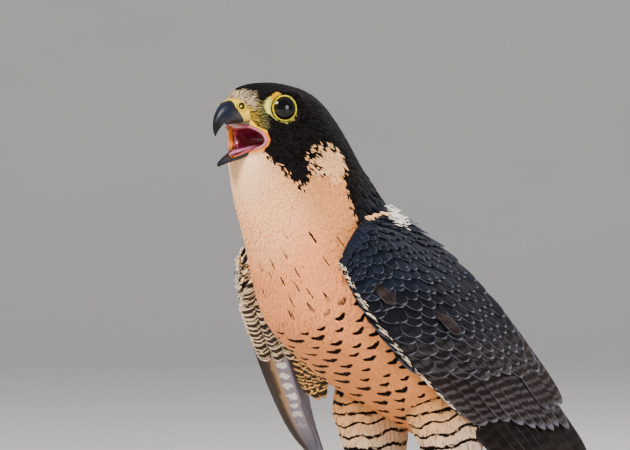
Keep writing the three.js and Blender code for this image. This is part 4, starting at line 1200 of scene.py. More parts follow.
primaries = dict(upper="#1c1613", inner="#968b99", outer="#3e3430", shaft="#b98f62", tip="#5f606c")
wingDyes = dict(secondary="#211a18", greater="#1d191c", median="#15161d", lesser="#151a26", brown="#261e1d",
                lining="#ffdfb4", axillar="#e6ac66", edge="#e6d2b8", flank="#eeb078", arm="#241f22")
quills = dict(
    shared=dict(
        primaries=dict(count=10, start=(0.25, 0.29), thick=0.9, arch=0.05, jitter=0.0),
        secondaries=dict(count=9, start=(0.27, 0.29), half=(9.4, 9.6), lift=(-6.6, -3.8), thick=0.8, lean=1.6,
                         arch=0.10, jitter=0.012),
        tertials=dict(count=4, across=(0.78, 0.975), start=(0.27, 0.3), half=(9.4, 8.6), lift=(-5.0, -2.6),
                      thick=0.8, lean=1.4, arch=0.08, jitter=0.008)),
    open=dict(
        primaries=dict(across=(0.056, 0.13), half=(9.8, 8.2), lift=(-9.6, -6.8), lean=0.8,
                       stop=[0.965, 1, 0.985, 0.945, 0.895, 0.84, 0.785, 0.735, 0.69, 0.65]),
        secondaries=dict(across=(0.27, 0.88), stop=(0.61, 0.6, 0.58, 0.55)),
        tertials=dict(stop=(0.60, 0.6, 0.56))),
    folded=dict(
        primaries=dict(across=(0.1, 0.9), half=(8.8, 10.5), lift=(-9.6, -8.0), lean=1.6, drift=(0, 0.03),
                       stop=[0.965, 1, 0.985, 0.955, 0.92, 0.885, 0.855, 0.83, 0.81, 0.79]),
        secondaries=dict(across=(0.1, 0.88), stop=(0.595, 0.62, 0.655, 0.68, 0.695, 0.70)),
        tertials=dict(stop=(0.65, 0.655, 0.65))))


def underPaint(tone, shape):  # the open primaries are seen from below: pale inner vanes, dark outer vanes
    n, size = len(tone), len(shape["s"])
    e, s = shape["place"], shape["s"][:, None]
    inner = mix(srgb(primaries["inner"]), srgb(primaries["tip"]), smooth(s, 0.72, 0.98))
    vane = mix(srgb(primaries["outer"]), inner, smooth(e, -0.42, -0.2)[:, None])
    shaft = np.exp(-((e + 0.3) / 0.14) ** 2) * (1 - smooth(shape["s"], 0.6, 0.95))
    vane = mix(vane, srgb(primaries["shaft"]), shaft[:, None])
    vane = mix(vane, srgb(primaries["outer"]), smooth(e, 0.82, 1.0)[:, None] * 0.7)
    below = (shape["lens"] <= 0)[None, :, None]
    return np.where(below, np.tile(vane[None], (n, 1, 1)), np.repeat(tone[:, None, :], size, 1))


def makeQuills(name, wing):
    opened = wing.pose == "open"
    spots = np.tile([0.0, 0.0 if opened else -0.12, 0.3, 0.0], (10, 1))
    if opened:
        spots[:3, 3] = 0.95  # only the outermost three carry ovals
    looks = dict(
        primaries=dict(dye=primaries["upper"], marks=spots, patternScale=0.5 if opened else 1.0, bend=0.0,
                       under=underPaint if opened else None),
        secondaries=dict(dye=wingDyes["secondary"], marks=(0, -0.9, 0.8, 0), bend=0.3, bold=1.6),
        tertials=dict(dye=wingDyes["secondary"], marks=(0, -0.7, 0.55, 0), bend=0.3, bold=1.6, slide=5.0))
    batches = []
    for kind, look in looks.items():
        row = wingRow(**quills["shared"][kind], **quills[wing.pose][kind])
        batches.append(wingFeathers(wing, row, quillShape, **look))
    joinedWing("quills_" + name, batches, quillShape)


coverts = dict(
    stops=[0.50, 0.466, 0.432, 0.40, 0.37, 0.34, 0.312, 0.285, 0.26, 0.235, 0.212, 0.19, 0.168, 0.148, 0.128,
           0.108, 0.09, 0.072, 0.056, 0.04],
    counts=[8, 8, 9, 9, 10, 10, 10, 11, 11, 12, 12, 13, 13, 14, 15, 15, 16, 17, 18, 19],
    bars=[-0.8, -0.65, -0.5, -0.35, -0.2, -0.1], slope=(-0.075, -0.03, 0.0, 0.03, 0.045), overlap=0.64,
    first=dict(open=0.10, folded=0.02), greaterRows=4, medianRows=10,
    worn=dict(count=2, across=(0.13, 0.36), start=(0.12, 0.24), stop=(0.2, 0.33), half=(4.6, 5.8),
              lift=(-2, 2.0), thick=0.5, lean=0.9, arch=0.08, jitter=0.0))


def makeCoverts(name, wing):
    batches = []
    rows = len(coverts["stops"])
    for i, (stop, count) in enumerate(zip(coverts["stops"], coverts["counts"])):
        t = i / (rows - 1)
        bar = coverts["bars"][i] if i < len(coverts["bars"]) else 0.0
        stops = [stop + k * float(smooth(stop, 0.02, 0.4)) for k in coverts["slope"]]
        start = max(0.012, stop - mix(0.19, 0.055, smooth(t, 0, 1)))
        half = coverts["overlap"] * float(wing.width(np.array([stop * 0.9]))[0]) / count
        places = (np.arange(count) + (0.25 if i % 2 else 0.75)) / count
        places = np.clip(places * 0.96 + 0.015, coverts["first"][wing.pose], 0.985)
        row = wingRow(count, places, (start, start), stops, (half, half), None, 0.5, lean=0.3, arch=0.05,
                      jitter=0.010)
        row["climb"] = 1.0
        row["lift"] = (mix(-4.8, -2.4, t),
                       mix(-1.6, 2.1, float(smooth(t, 0, 0.7))) + rng.uniform(-0.2, 0.35, (count, 1)))
        dye = "greater" if i < coverts["greaterRows"] else "median" if i < coverts["medianRows"] else "lesser"
        fringe = mix(0.95, 0.45, float(smooth(t, 0.3, 1.0)))
        batches.append(wingFeathers(wing, row, plateShape, wingDyes[dye], (0, bar, fringe, 0), bend=0.3,
                                    bold=1.5))
    batches.append(wingFeathers(wing, wingRow(**coverts["worn"]), plateShape, wingDyes["brown"],
                                (0, -0.25, 0.55, 0), bend=0.3))
    joinedWing("coverts_" + name, batches, plateShape)


lining = dict(
    rows=18, line=[(0.50, -9.4), (0.385, -12), (0.29, -14.8), (0.21, -17), (0.15, -17.5), (0.08, -17)],
    shared=dict(half=(4.6, 4.6), thick=0.8, lean=-0.8, arch=0.16, jitter=0.010),
    open=dict(first=0.03, dye="lining", bend=0.6, bold=2.1),
    folded=dict(first=0.07, dye="flank", bend=0.4, bold=1.2),
    axillars=dict(count=6, across=(0.17, 0.27), start=(0.42, 0.44), stop=(0.68, 0.72, 0.64, 0.58),
                  half=(5.6, 5.6), lift=(-9, -8.5), thick=0.8, drift=(0, 0.02), lean=-0.8, arch=0.16,
                  jitter=0.01))


def makeLining(name, wing):
    look = lining[wing.pose]
    batches = []
    for i, (stop, lift) in enumerate(through(np.array(lining["line"]), np.linspace(0, 1, lining["rows"]))):
        row = wingRow(17 + i // 2, (look["first"], 0.93), (max(0.03, stop - 0.13),), (stop, stop - 0.05),
                      lift=(lift + 3, lift), **lining["shared"])
        batches.append(wingFeathers(wing, row, scaleShape, wingDyes[look["dye"]], (0, 0.97, 0.95, 0),
                                    flip=-1.0, patternScale=0.95, bend=look["bend"], bold=look["bold"],
                                    slide=2.5))
    if wing.pose == "open":
        row = wingRow(**lining["axillars"])
        batches.append(wingFeathers(wing, row, scaleShape, wingDyes["axillar"], (0, 0.97, 0.0, 0), flip=-1.0,
                                    patternScale=0.9, bend=0.6, bold=2.2, slide=3.0))
    joinedWing("lining_" + name, batches, scaleShape, "breast")


edges = dict(open=dict(count=640, crowding=1.0, reach=0.42, dye="lining", bars=0.4, dark=0.16),
             folded=dict(count=190, crowding=1.3, reach=0.52, dye="edge", bars=0, dark=0.42))


def makeEdge(name, wing):  # the ragged pale line of tiny feathers along the leading edge
    look, opened = edges[wing.pose], wing.pose == "open"
    n = look["count"]
    t = np.sort(rng.uniform(0.0, 1.0, n)) ** look["crowding"]
    start = 0.008 + look["reach"] * t
    across = rng.uniform(0.0, 0.085, n) if opened else rng.uniform(-0.022, 0.002, n) * (1 - 0.75 * t)
    row = dict(across=across, start=start, stop=start + rng.uniform(0.012, 0.022, n),
               half=rng.uniform(0.25, 0.55, n) * (1 - 0.3 * t), lift=(-1.6, -0.9 + 2.4 * (1 - t[:, None])),
               thick=0.4, arch=0.15, drift=rng.uniform(-0.006, 0.012, n), tilt=np.full(n, 0.3))
    if opened:
        row["drift"] = rng.uniform(0.0, 0.02, n)
        row["half"], row["stop"] = rng.uniform(0.8, 1.4, n), start + rng.uniform(0.009, 0.016, n)
        deep = (rng.uniform(-9, 2.2, (n, 1)) * smooth(across, 0.07, -0.01)[:, None]
                + 1.6 * smooth(across, -0.01, 0.07)[:, None])
        row["lift"] = (deep - 1.5, deep)
    batch = wingFeathers(wing, row, tuftShape, wingDyes[look["dye"]], (0, look["bars"], 0, 0), bold=1.8)
    batch[1]["tone"][rng.random(n) < look["dark"]] = srgb(wingDyes["lesser"])
    joinedWing("edge_" + name, [batch], tuftShape, "breast")


shoulder = dict(count=150, strip=34, dark=0.16, streaked=0.4)


def makeShoulderTuft(wing):  # the white tuft with fine black streaks, and a buff strip beside it
    n, strip = shoulder["count"], shoulder["strip"]
    u, v = rng.normal(0.034, 0.013, n), np.clip(rng.normal(0.73, 0.055, n), 0.55, 0.9)
    v[:strip] = rng.uniform(0.40, 0.66, strip)
    u[:strip] = -0.006 + (v[:strip] - 0.27) * 0.08 + rng.uniform(-0.004, 0.004, strip)
    roots = dict(u=u, v=v, length=rng.uniform(3, 5, n), half=rng.uniform(0.5, 0.8, n),
                 swirl=rng.normal(0.1, 0.28, n), low=rng.uniform(1, 2.5, n), high=rng.uniform(2.8, 4.6, n),
                 thick=0.4, arch=0.15)
    roots["length"][:strip] *= 0.7
    points, x, y, *_ = tufts(wing, roots, tuftShape)
    tone = np.tile(srgb(bodyDyes["tuft"]), (n, 1))
    tone[rng.random(n) < shoulder["dark"]] = srgb(wingDyes["lesser"])
    tone[:strip] = srgb(bodyDyes["cheek"]) * 1.1
    marks = np.zeros((n, 4))
    marks[:, 2] = np.where(rng.random(n) < shoulder["streaked"], -1.0, 0.0)
    data = dict(seed=mildSeed(n), tone=tone, lieX=y, lieY=x, bend=np.zeros(n), marks=marks,
                shape=np.ones((n, 3)))
    coatPiece("shoulder_tuft", points, n, tuftShape, data, np.stack([v * 0.9, 0.3 + u], -1), "breast")


def plainCore(piece, code):  # what shows between the feathers has one dark colour and no marks
    values = dict(tone=[*srgb(code), 1], marks=[0] * 4, vane=[0, 0.8, 0.5])
    n = len(piece.data.vertices)
    layPoints(piece.data, {label: np.tile(value, (n, 1)) for label, value in values.items()})


# the small coverts round the wrist: how many, over which part of the arm, and where the upper ones start
wrist = dict(count=2600, span=(0.30, 0.74), upper=dict(open=0.64, folded=0.485),
             below=dict(open="lining", folded="edge"))


def makeArm(name, wing):
    surface = armSurface(wing)
    piece = gridMesh("arm_" + name, 60, 90, lambda x, y: surface(y, x, 0.0), coatPaint, close=False,
                     bake=True)
    plainCore(piece, wingDyes["arm"])
    settle(piece, "slate", "wing_" + name)

    n = wrist["count"]
    u = rng.uniform(*wrist["span"], n)
    v = rng.uniform(0.0, 1.0, n)
    sense = np.where(u > 0.49, 1.0, -1.0)
    roots = dict(u=u, v=v, length=rng.uniform(4.5, 7, n), half=rng.uniform(1.3, 2.0, n),
                 swirl=rng.normal(0, 0.08, n), low=np.full(n, -0.6), high=rng.uniform(0.2, 0.7, n),
                 thick=0.3, arch=0.1, sense=sense[:, None])
    points, x, y, *_ = tufts(surface, roots, tuftShape)
    upper = u > wrist["upper"][wing.pose]
    pale = ~upper | ((v < 0.05) & (rng.random(n) < 0.8))
    below = srgb(wingDyes[wrist["below"][wing.pose]])
    tone = np.where(pale[:, None], below, srgb(wingDyes["lesser"]) * rng.uniform(0.8, 1.25, (n, 1)))
    marks = np.zeros((n, 4))
    marks[:, 1] = np.where(upper, 0, 0.9)
    marks[:, 2] = np.where(upper, 0.3, 0)
    data = dict(seed=rng.random(n), tone=tone, lieX=(v * 90)[:, None] + y,
                lieY=(np.abs(u - 0.5) * 180)[:, None] + x, bend=np.zeros(n), marks=marks,
                shape=np.full((n, 3), 1.5))
    coatPiece("wrist_" + name, points, n, tuftShape, data, np.stack([v, u], -1), "slate")


for name, wing in wings.items():
    makeQuills(name, wing)
    makeCoverts(name, wing)
    makeLining(name, wing)
    makeEdge(name, wing)
    makeArm(name, wing)
makeShoulderTuft(leftWing)


# Tail
tail = dict(quill="#33353e", upper="#2a2f3b", under="#d8c09a", core="#181b24", rows=(0.46, 0.34, 0.22),
            upperLifts=(1.6, 2.6, 3.4), underLifts=(-2.5, -4.5, -6.5))


def makeTail():
    side, order = np.repeat([1, -1], 6), np.tile(np.arange(6), 2)
    level = np.where(order == 0, np.where(side > 0, 1.4, 0.6), 0.4 - order * 1.1)
    row = dict(across=0.5 + side * np.where(order == 0, 0.06, 0.115 + 0.061 * order), start=np.full(12, 0.04),
               stop=1 - 0.06 * (order / 5) ** 2, half=np.full(12, 8.8), thick=0.9, drift=np.zeros(12),
               lift=(level[:, None] * 0.6, level[:, None] * 1.2), tilt=np.zeros(12), arch=0.05)
    batches = [wingFeathers(tailSurface, row, quillShape, tail["quill"], (0, 0.75, 0.5, 0), bend=0.15)]
    joinedWing("tail_quills", batches, quillShape)
    over = []
    for face, lifts, dye, marks in ((1, tail["upperLifts"], tail["upper"], (0, -0.3, 0.6, 0)),
                                    (-1, tail["underLifts"], tail["under"], (0, 0.8, 0, 0))):
        for lift, stop in zip(lifts, tail["rows"]):
            row = wingRow(7, (0.1, 0.9), (0.0,), (stop - 0.05, stop, stop - 0.05), (6.5, 6.5),
                          (face * 2, lift), 0.7, lean=0.5, arch=0.2, jitter=0.02)
            over.append(wingFeathers(tailSurface, row, scaleShape, dye, marks, flip=face, bend=0.3))
    joinedWing("tail_coverts", over, scaleShape)

    def place(x, y):
        along = mix(-0.12, 0.28, y)
        turn = x * 2 * math.pi
        width = 0.5 + 0.44 * np.cos(turn)
        deep = np.where(np.sin(turn) > 0, 6.5 * (1 - 0.75 * y), 9 * (1 - 0.8 * y)) * np.sin(turn)
        return tailSurface(along, width, deep)
    core = gridMesh("tail_root", 40, 24, place, coatPaint, caps=True, bake=True)
    plainCore(core, tail["core"])
    settle(core, "slate", "tail")


makeTail()
print("plumage done")


# Eyes and lids
sides = (("left", 1), ("right", -1))


def tube(around, along, major, minor, flatten=1.0):  # a closed ring about Z
    reach = major + minor * np.cos(along)
    return np.stack([reach * np.cos(around), reach * np.sin(around) * flatten, minor * np.sin(along)], -1)


def makeEye(name, side):
    centre, axis = eyeCentre(side), eyeAxis(side)
    turn = Vector((0, 0, 1)).rotation_difference(Vector(axis))
    bm = bmesh.new()
    bmesh.ops.create_uvsphere(bm, u_segments=64, v_segments=40, radius=eye["radius"] - 0.05)
    flat = np.array([v.co for v in bm.verts])
    moveTo(bm, toFrame(np.array([turn @ v.co for v in bm.verts]) + centre))
    eyeball = finished(bm, "eyeball_" + name, eyePaint)
    out = np.hypot(flat[:, 0], flat[:, 1]) / eye["radius"]
    around = np.arctan2(flat[:, 1], flat[:, 0])
    layPoints(eyeball.data, dict(iris=np.stack([around, out, flat[:, 2]], -1)))
    settle(eyeball, "eye", "eye_" + name)
    matrix = np.array(turn.to_matrix())

    def lidPlace(x, y):
        a, b = x * 2 * math.pi, y * 2 * math.pi
        thick = eye["lid"] * (1 + 0.10 * np.sin(a * 23 + 2 * b) + 0.06 * np.sin(a * 41 - b))
        return tube(a, b, eye["opening"] + 0.2, thick, 0.985) @ matrix.T + (centre + axis * eyeDepth)
    lid = gridMesh("lid_" + name, 160, 16, lidPlace, lidPaint)
    settle(lid, "cere", "eyelid_" + name)


for name, side in sides:
    makeEye(name, side)


# Bill, cere and nostrils
upperStations = np.array([  # top ahead and above, low ahead and above, half-width
    (13, 5.5, 11, -11, 12.6), (20.5, 6.4, 18.5, -10.2, 11.4), (27.1, 5.1, 24.6, -9, 9.2),
    (33.4, 1.9, 30, -8.6, 6.9), (37.6, -3.6, 33, -9.4, 4.6), (39.6, -9.4, 35.2, -11.6, 2.7),
    (39.7, -14, 37.2, -14.6, 1.2), (38.6, -17, 38.1, -17.1, 0.4)])


def upperPlace(x, y, grow=0.0):
    w = through(upperStations, y)
    top, low = w[..., 0:2], w[..., 2:4]
    tooth = -1.3 * np.exp(-((y - 0.50) / 0.05) ** 2) + 0.9 * np.exp(-((y - 0.60) / 0.05) ** 2)
    low = low + np.stack([0 * tooth, tooth - 0.9 * smooth(y, 0.2, 0.32) * smooth(y, 0.7, 0.5)], -1)
    reach = top - low
    tall = np.linalg.norm(reach, axis=-1, keepdims=True)
    reach = reach / tall
    angle = x * 2 * math.pi
    cosine = np.cos(angle)[..., None]
    rise = np.where(cosine > 0, cosine, cosine * (0.29 - 0.4 * smooth(-cosine, 0.82, 1)))
    plump = np.asarray(grow)[..., None] if np.ndim(grow) else grow
    p = low + reach * (tall * 0.22 + rise * (tall * 0.78 + plump))
    half = (w[..., 4] + grow) * np.sign(np.sin(angle)) * np.abs(np.sin(angle)) ** 0.85
    return onHead(half, p[..., 0], p[..., 1])


def hornLayer(piece, lower=False):  # how near the bill's tip each point lies, and how high
    away = solidPlaces(piece.data) - onHead(0, 0, 0)
    ahead = away @ unit(onHead(0, 1, 0) - onHead(0, 0, 0))
    above = away[:, 2]
    if lower:
        tip = np.interp(ahead, [10, 26, 30.5, 35], [0.15, 0.34, 0.5, 0.86])
        low = np.full(len(away), 0.3)
    else:
        tip = np.interp(ahead - np.minimum(0, above + 6) * 0.9, [20, 50], [0.1, 1.0])
        low = np.interp(above, [-11, 3], [0, 1])
    layPoints(piece.data, dict(horn=np.stack([tip, low, 0 * tip], -1)))


hornBorder = [((28.2, 6), (28.3, 0)), ((28.3, 0.3), (22.4, -10))]


def cutPlane(piece, keepAhead, ends, back=0.0):  # one part of the border between cere and horn
    a, b = (toFrame(onHead(0, x - back, z)) for x, z in ends)
    across = toFrame(onHead(1, 0, 0)) - toFrame(onHead(0, 0, 0))
    normal = unit(np.cross(b - a, across))
    if normal @ (toFrame(onHead(0, 60, 0)) - a) < 0:
        normal = -normal
    bm = bmesh.new()
    bm.from_mesh(piece.data)
    bmesh.ops.bisect_plane(bm, geom=bm.verts[:] + bm.edges[:] + bm.faces[:], plane_co=a, plane_no=normal,
                           clear_inner=keepAhead, clear_outer=not keepAhead)
    fillHoles(bm)
    redone(piece, bm)


def drum(name, centre, axis, radius, length, material):
    bm = bmesh.new()
    turn = Vector((0, 0, 1)).rotation_difference(Vector(axis)).to_matrix().to_4x4()
    bmesh.ops.create_cone(bm, cap_ends=True, segments=32, radius1=radius * 0.8, radius2=radius * 1.1,
                          depth=length)
    bmesh.ops.transform(bm, matrix=turn, verts=bm.verts)
    moveTo(bm, toFrame(np.array([v.co for v in bm.verts]) + centre))
    return finished(bm, name, material)


def bead(name, centre, radius, material):
    bm = bmesh.new()
    bmesh.ops.create_icosphere(bm, subdivisions=3, radius=radius)
    moveTo(bm, toFrame(np.array([v.co for v in bm.verts]) + centre))
    return finished(bm, name, material)


def ringPiece(name, centre, axis, major, minor, material):
    matrix = np.array(Vector((0, 0, 1)).rotation_difference(Vector(axis)).to_matrix())

    def place(x, y):
        return tube(x * 2 * math.pi, y * 2 * math.pi, major, minor) @ matrix.T + centre
    return gridMesh(name, 40, 10, place, material)


# centres are left of the middle, ahead of and above the eyes
nostril = dict(
    hole=dict(centre=(9.4, 26.0, 1.0), radius=2.3, depth=5), bead=dict(centre=(9.2, 26.0, 0.8), radius=0.7),
    hollow=dict(centre=(8.2, 25.8, 0.95), radius=2.36, depth=2.0),
    rim=dict(centre=(9.7, 25.9, 1.0), radius=2.42, thickness=0.28))


def nostrilAt(part, side):  # the centre and which way the nostril faces
    left, ahead, above = nostril[part]["centre"]
    return onHead(side * left, ahead, above), unit(onHead(side, 0.25, 0.1) - onHead(0, 0, 0))


def makeBill():
    horn = gridMesh("upper_horn", 96, 110, upperPlace, hornPaint, caps=True)
    cutPlane(horn, True, hornBorder[1], 3.0)
    hornLayer(horn)
    settle(horn, "horn", "bill_upper")

    def cerePlace(x, y):
        return upperPlace(x, y, 0.45 * smooth(y, 0.0, 0.1) + 0.25 * np.sin(y * 60) * 0.15)
    cere = gridMesh("cere_skin", 96, 110, cerePlace, cerePaint, caps=True)
    for ends in hornBorder:
        cutPlane(cere, False, ends)
    hole, hollow, rim = nostril["hole"], nostril["hollow"], nostril["rim"]
    for name, side in sides:
        cutter = drum("nostril", *nostrilAt("hole", side), hole["radius"], hole["depth"], clawPaint)
        boolean(cere, cutter, "DIFFERENCE")
    settle(cere, "cere", "cere")
    for name, side in sides:
        made = [bead("nostril_bead_" + name, nostrilAt("bead", side)[0], nostril["bead"]["radius"],
                     cerePaint),
                drum("nostril_hollow_" + name, *nostrilAt("hollow", side), hollow["radius"], hollow["depth"],
                     clawPaint),
                ringPiece("nostril_rim_" + name, *nostrilAt("rim", side), rim["radius"], rim["thickness"],
                          cerePaint)]
        for piece in made:
            settle(piece, "cere")


makeBill()


# the rim's half-width and its place ahead and above; how deep the jaw and its trough are, root and tip
jaw = dict(
    rim=[(13.6, 10, -21.6), (10.6, 17.5, -25), (8.4, 23, -27.6), (5.4, 29.5, -30.4), (1.8, 35.4, -33.4)],
    deep=(5.4, 1.6), trough=(3.2, 0.7))


def makeLowerBill():
    def place(x, y):
        rim = through(jaw["rim"], y)
        deep, dip = mix(*jaw["deep"], y), mix(*jaw["trough"], y)
        half = rim[..., 0]
        o = np.ones_like(y)
        ring = np.stack([np.stack(pair, -1) for pair in [
            (-half, 0.2 * o), (-half * 0.66, -dip * 0.55), (0 * o, -dip), (half * 0.66, -dip * 0.55),
            (half, 0.2 * o), (half * 0.93, -deep * 0.55), (half * 0.6, -deep * 0.93), (0 * o, -deep - 0.4),
            (-half * 0.6, -deep * 0.93), (-half * 0.93, -deep * 0.55)]])
        t = (x % 1.0) * 10
        i = np.floor(t).astype(int) % 10
        w = (t - np.floor(t))[:, None]
        pick = np.arange(len(y))
        p0, p1, p2, p3 = (ring[(i + k) % 10, pick] for k in (-1, 0, 1, 2))
        m1, m2 = (p2 - p0) / 2 * 0.8, (p3 - p1) / 2 * 0.8
        q = p1 + m1 * w + (3 * (p2 - p1) - 2 * m1 - m2) * w ** 2 + (2 * (p1 - p2) + m1 + m2) * w ** 3
        return onHead(q[:, 0], rim[..., 1] - q[:, 1] * 0.25, rim[..., 2] + q[:, 1])
    horn = gridMesh("lower_horn", 100, 60, place, hornPaint, caps=True)
    hornLayer(horn, lower=True)
    settle(horn, "horn", "bill_lower")


tongue = dict(line=[(0, 2, -22.6), (0, 11, -23.4), (0, 20, -25.4), (0, 28, -28)], wide=5, thick=1.7,
              thinner=0.9, groove=0.5)


def makeTongue():
    middle = onHead(*np.array(tongue["line"]).T)

    def size(u):
        inside = np.clip(u, 0, 1)
        wide = (1 - 0.75 * inside ** 3) * tongue["wide"] * np.sin(math.pi * (0.28 + 0.62 * inside))
        ends = np.sqrt(np.clip(1 - (2 * inside - 1) ** 8, 0.0, 1))
        return wide * ends, (tongue["thick"] - tongue["thinner"] * u) * ends
    surface = limbSurface(middle, size, np.array([0.0, 0.0, 1.0]))

    def place(x, y):
        angle = x * 2 * math.pi
        groove = -tongue["groove"] * np.exp(-((angle - math.pi / 2) / 0.35) ** 2) * smooth(y, 0.1, 0.4)
        return surface(y, angle, groove)
    settle(gridMesh("tongue_body", 48, 60, place, tonguePaint, caps=True), "mouth", "tongue")


gapeLine = [(10.8, 20.6, -10.4), (13.2, 16.4, -12), (15.9, 13.4, -14.8), (17.8, 11.8, -19.2),
            (16.2, 12.8, -23.2), (12.4, 17, -25.9)]
# the orange edge of the gape and the lilac fold within: how far in each lies, and its girth on either side
gapeFolds = dict(edge=dict(inward=0.1, girth=dict(left=0.74, right=1.1), paint=gapePaint),
                 fold=dict(inward=1.5, girth=dict(left=0.55, right=0.3), paint=foldPaint))


def makeGape(name, side, fold):
    inward, girth = gapeFolds[fold]["inward"], gapeFolds[fold]["girth"][name]
    left, ahead, above = np.array(gapeLine).T
    middle = onHead(side * left - side * 0.3 * inward, ahead + inward, mix(above, -18.2, inward * 0.07))

    def size(u):
        u = np.clip(u, 0, 1)
        thick = girth * (0.9 + 0.7 * np.sin(math.pi * u)) * np.sqrt(np.clip(1 - (2 * u - 1) ** 6, 0.02, 1))
        return thick * 1.05, thick
    surface = limbSurface(middle, size, np.array([0.0, -1.0, 0.2]))

    def place(x, y):
        angle = x * 2 * math.pi
        relief = 0.16 * np.sin(angle * 3 + y * 5) + 0.10 * np.sin(y * 46 + 2 * np.sin(angle))
        return surface(y, angle, relief * girth)
    gape = gridMesh("gape_" + fold + "_" + name, 36, 120, place, gapeFolds[fold]["paint"], caps=True)
    settle(gape, "gape", *(["gape_" + name] if fold == "edge" else []))


makeLowerBill()
makeTongue()
for name, side in sides:
    for fold in gapeFolds:
        makeGape(name, side, fold)
print("head done")


# Legs, feet and claws
toes = [  # name, heading from straight ahead, length, girth, claw
    ("hind", 172, 23, 4.1, 19), ("inner", -38, 33, 4.2, 18), ("middle", 3, 49, 4.1, 17),
    ("outer", 44, 38, 3.8, 14)]
# how far round and along the rows of scales run in mm, the size of one, and how high it stands; a toe's
# rows run its own length
scales = dict(shank=(26, 70, 2.0, 0.32), ankle=(34, 22, 1.8, 0.3), toe=(24, 1.5, 0.32), scute=2.3)
shanks = dict(girth=3.6, atFoot=1.5, atHeel=1.1)
ankles = dict(radius=7.4, below=2.5)
claws = dict(wide=2.7, tall=3.1, tip=0.35, arc=((-0.12, 5.2), (0.3, 7.6), (0.72, 5.8), (0.92, 1)))


def scaly(around, along, size):  # domes in staggered rows, 0 in the creases and 1 on top
    row = np.floor(along / size)
    x = around / size + 0.5 * (row % 2)
    dx = np.abs(x - np.floor(x) - 0.5)
    dy = np.abs(along / size - row - 0.5)
    return np.sqrt(np.clip(1 - (2 * dx) ** 4, 0, 1) * np.clip(1 - (2 * dy) ** 4, 0, 1))


def evenScales(kind):
    around, along, size, height = scales[kind]
    return lambda x, y: height * scaly(x * around, y * along, size)


def onFloor(p):  # nothing goes below the floor
    return np.stack([p[..., 0], p[..., 1], np.maximum(p[..., 2], 0.0)], -1)


def scalePiece(name, across, along, place, relief):
    piece = gridMesh(name, across, along, lambda x, y: place(x, y, relief(x, y)), legPaint, close=False)
    x, y = np.meshgrid(np.linspace(0, 1, across + 1), np.linspace(0, 1, along + 1))
    crease = relief(x.ravel(), y.ravel())
    crease = (crease - crease.min()) / (np.ptp(crease) + 1e-9)
    layPoints(piece.data, dict(scales=np.stack([crease] * 3, -1)))
    bm = bmesh.new()
    bm.from_mesh(piece.data)
    bmesh.ops.remove_doubles(bm, verts=bm.verts, dist=2e-6)
    fillHoles(bm)
    redone(piece, bm)
    return settle(piece, "leg_scale")


def makeToe(name, leg, toe, heading, length, thick, claw):
    foot = np.array(leg["foot"], float)
    angle = math.radians(heading) * leg["side"]
    out = np.array([math.sin(angle), -math.cos(angle), 0.0])

    def at(reach, height):
        return np.array([foot[0], foot[1], 0.0]) + out * reach + np.array([0, 0, height])
    line = [at(0, foot[2] - 1), at(length * 0.28, thick + 2.6), at(length * 0.6, thick * 0.88),
            at(length, thick * 0.82)]

    def size(u):
        pad = 0.55 * np.cos(np.clip(u, 0, 1) * 6 * math.pi)
        tapered = np.sqrt(np.clip(1 - np.clip(u - 0.9, 0, 1) ** 2 * 55, 0.25, 1))
        g = (thick * (1.12 - 0.22 * u) + pad) * tapered
        return g * 0.95, g * 1.04
    surface = limbSurface(line, size, np.array([0.0, 0.0, 1.0]))
    around, scale, height = scales["toe"]

    def relief(x, y):  # scutes on top, small scales elsewhere
        top = smooth(np.sin(x * 2 * math.pi), 0.1, 0.5)
        scute = np.sqrt(np.abs(np.sin(y * length / scales["scute"] * math.pi)))
        return height * mix(scaly(x * around, y * length, scale), scute, top)
    piece = scalePiece("toe_%s_%s" % (name, toe), 48, 120,
                       lambda x, y, h: onFloor(surface(y, x * 2 * math.pi, h)), relief)

    def clawSize(u):
        u = np.clip(u, 0, 1)
        return mix(claws["wide"], claws["tip"], u), mix(claws["tall"], claws["tip"], u)
    talon = [at(length + r * claw, h) for r, h in claws["arc"]]
    hook = limbSurface(talon, clawSize, out)
    spike = gridMesh("talon_%s_%s" % (name, toe), 28, 40, lambda x, y: hook(y, x * 2 * math.pi, 0.0),
                     clawPaint, caps=True)
    settle(spike, "claw", "claw_%s_%s" % (name, toe))
    return piece


def makeLeg(name, leg):
    heel, foot = np.array(leg["heel"], float), np.array(leg["foot"], float)
    lean = unit(heel - foot)
    low, high = foot - lean, heel + lean * 10

    def girth(u):
        g = (shanks["girth"] + shanks["atFoot"] * (1 - smooth(u, 0, 0.22))
             + shanks["atHeel"] * smooth(u, 0.7, 1))
        return g * 0.92, g * 1.1
    shank = limbSurface([low, (low + high) / 2, high], girth, np.array([0.0, -1.0, 0.0]))
    tarsus = scalePiece("shank_" + name, 72, 200, lambda x, y, h: shank(y, x * 2 * math.pi, h),
                        evenScales("shank"))
    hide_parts("tarsus_" + name)
    made = [makeToe(name, leg, *toe) for toe in toes]
    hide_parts("foot_" + name)

    def anklePlace(x, y, h):
        turn, rise = x * 2 * math.pi, (y - 0.5) * math.pi
        ray = np.stack([np.cos(turn) * np.cos(rise), np.sin(turn) * np.cos(rise), np.sin(rise)], -1)
        centre = np.array([foot[0], foot[1], foot[2] - ankles["below"]])
        return onFloor(ray * (ankles["radius"] + h)[..., None] + centre)
    scalePiece("ankle_" + name, 60, 40, anklePlace, evenScales("ankle"))


for name, leg in thighs.items():
    makeLeg(name, leg)
print("legs done")


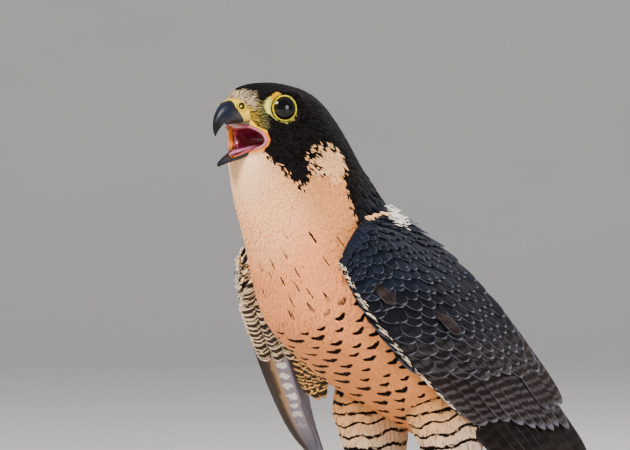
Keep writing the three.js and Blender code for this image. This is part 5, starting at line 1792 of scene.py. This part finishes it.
# Floor, light and camera
studio = dict(floor=5.0, curve=3.0, steps=12, sky=(0.82, 0.87, 1.0, 1), skyStrength=0.55)
camera = dict(azimuth=math.radians(57), distance=2.2, aim=(-23.7, -36.4, 277), lens=202.8)
lamps = [  # name, metres out towards the camera, to the right and up, size, power, colour
    ("key", 1.25, -1.0, 1.35, 0.34, 350, (1.0, 0.92, 0.81)),
    ("fill", 1.5, 1.5, 0.35, 0.5, 108, (0.95, 0.96, 1.0)),
    ("back", -1.2, 1.1, 1.5, 0.4, 150, (1.0, 0.97, 0.92))]


def makeFloor():  # a round floor whose rim curves up
    bm = bmesh.new()
    bmesh.ops.create_circle(bm, cap_ends=False, segments=96, radius=studio["floor"])
    edges = bm.edges[:]
    radius = studio["floor"]
    for i in range(1, studio["steps"] + 1):
        angle = i / studio["steps"] * math.pi / 2
        made = bmesh.ops.extrude_edge_only(bm, edges=edges)["geom"]
        edges = [g for g in made if isinstance(g, bmesh.types.BMEdge)]
        grown = studio["floor"] + studio["curve"] * math.sin(angle)
        for vert in (g for g in made if isinstance(g, bmesh.types.BMVert)):
            vert.co = Vector((vert.co.x * grown / radius, vert.co.y * grown / radius,
                              studio["curve"] * (1 - math.cos(angle))))
        radius = grown
    inner = [e for e in bm.edges if e.is_boundary and abs(e.verts[0].co.z) < 1e-6]
    bmesh.ops.holes_fill(bm, edges=inner, sides=0)
    floor = finished(bm, "studio_floor", floorMaterial())
    if sum(face.normal.z for face in floor.data.polygons) < 0:
        floor.data.flip_normals()


def makeLamp(name, place, size, power, colour):
    data = bpy.data.lights.new(name, "POINT")
    data.energy, data.shadow_soft_size, data.color = power, size, colour
    lamp = bpy.data.objects.new(name, data)
    lamp.location = place
    lamp.visible_camera = False
    bpy.context.scene.collection.objects.link(lamp)


def makeCamera():
    data = bpy.data.cameras.new("camera")
    data.lens, data.sensor_width, data.clip_end = camera["lens"], 36.0, 60.0
    aim = Vector(toFrame(camera["aim"]))
    out = Vector((math.sin(camera["azimuth"]), -math.cos(camera["azimuth"]), 0))
    viewer = bpy.data.objects.new("camera", data)
    viewer.location = aim + out * camera["distance"]
    viewer.rotation_euler = (-out).to_track_quat("-Z", "Y").to_euler()
    bpy.context.scene.collection.objects.link(viewer)
    bpy.context.scene.camera = viewer
    return aim, out, Vector((-out.y, out.x, 0))


makeFloor()
aim, out, right = makeCamera()
for name, outward, rightward, up, *look in lamps:
    makeLamp(name, aim + out * outward + right * rightward + Vector((0, 0, up)), *look)
world = bpy.data.worlds.new("studio")
bpy.context.scene.world = world
world.use_nodes = True
sky = world.node_tree.nodes["Background"].inputs
sky["Color"].default_value, sky["Strength"].default_value = studio["sky"], studio["skyStrength"]
print("stage and light ready")
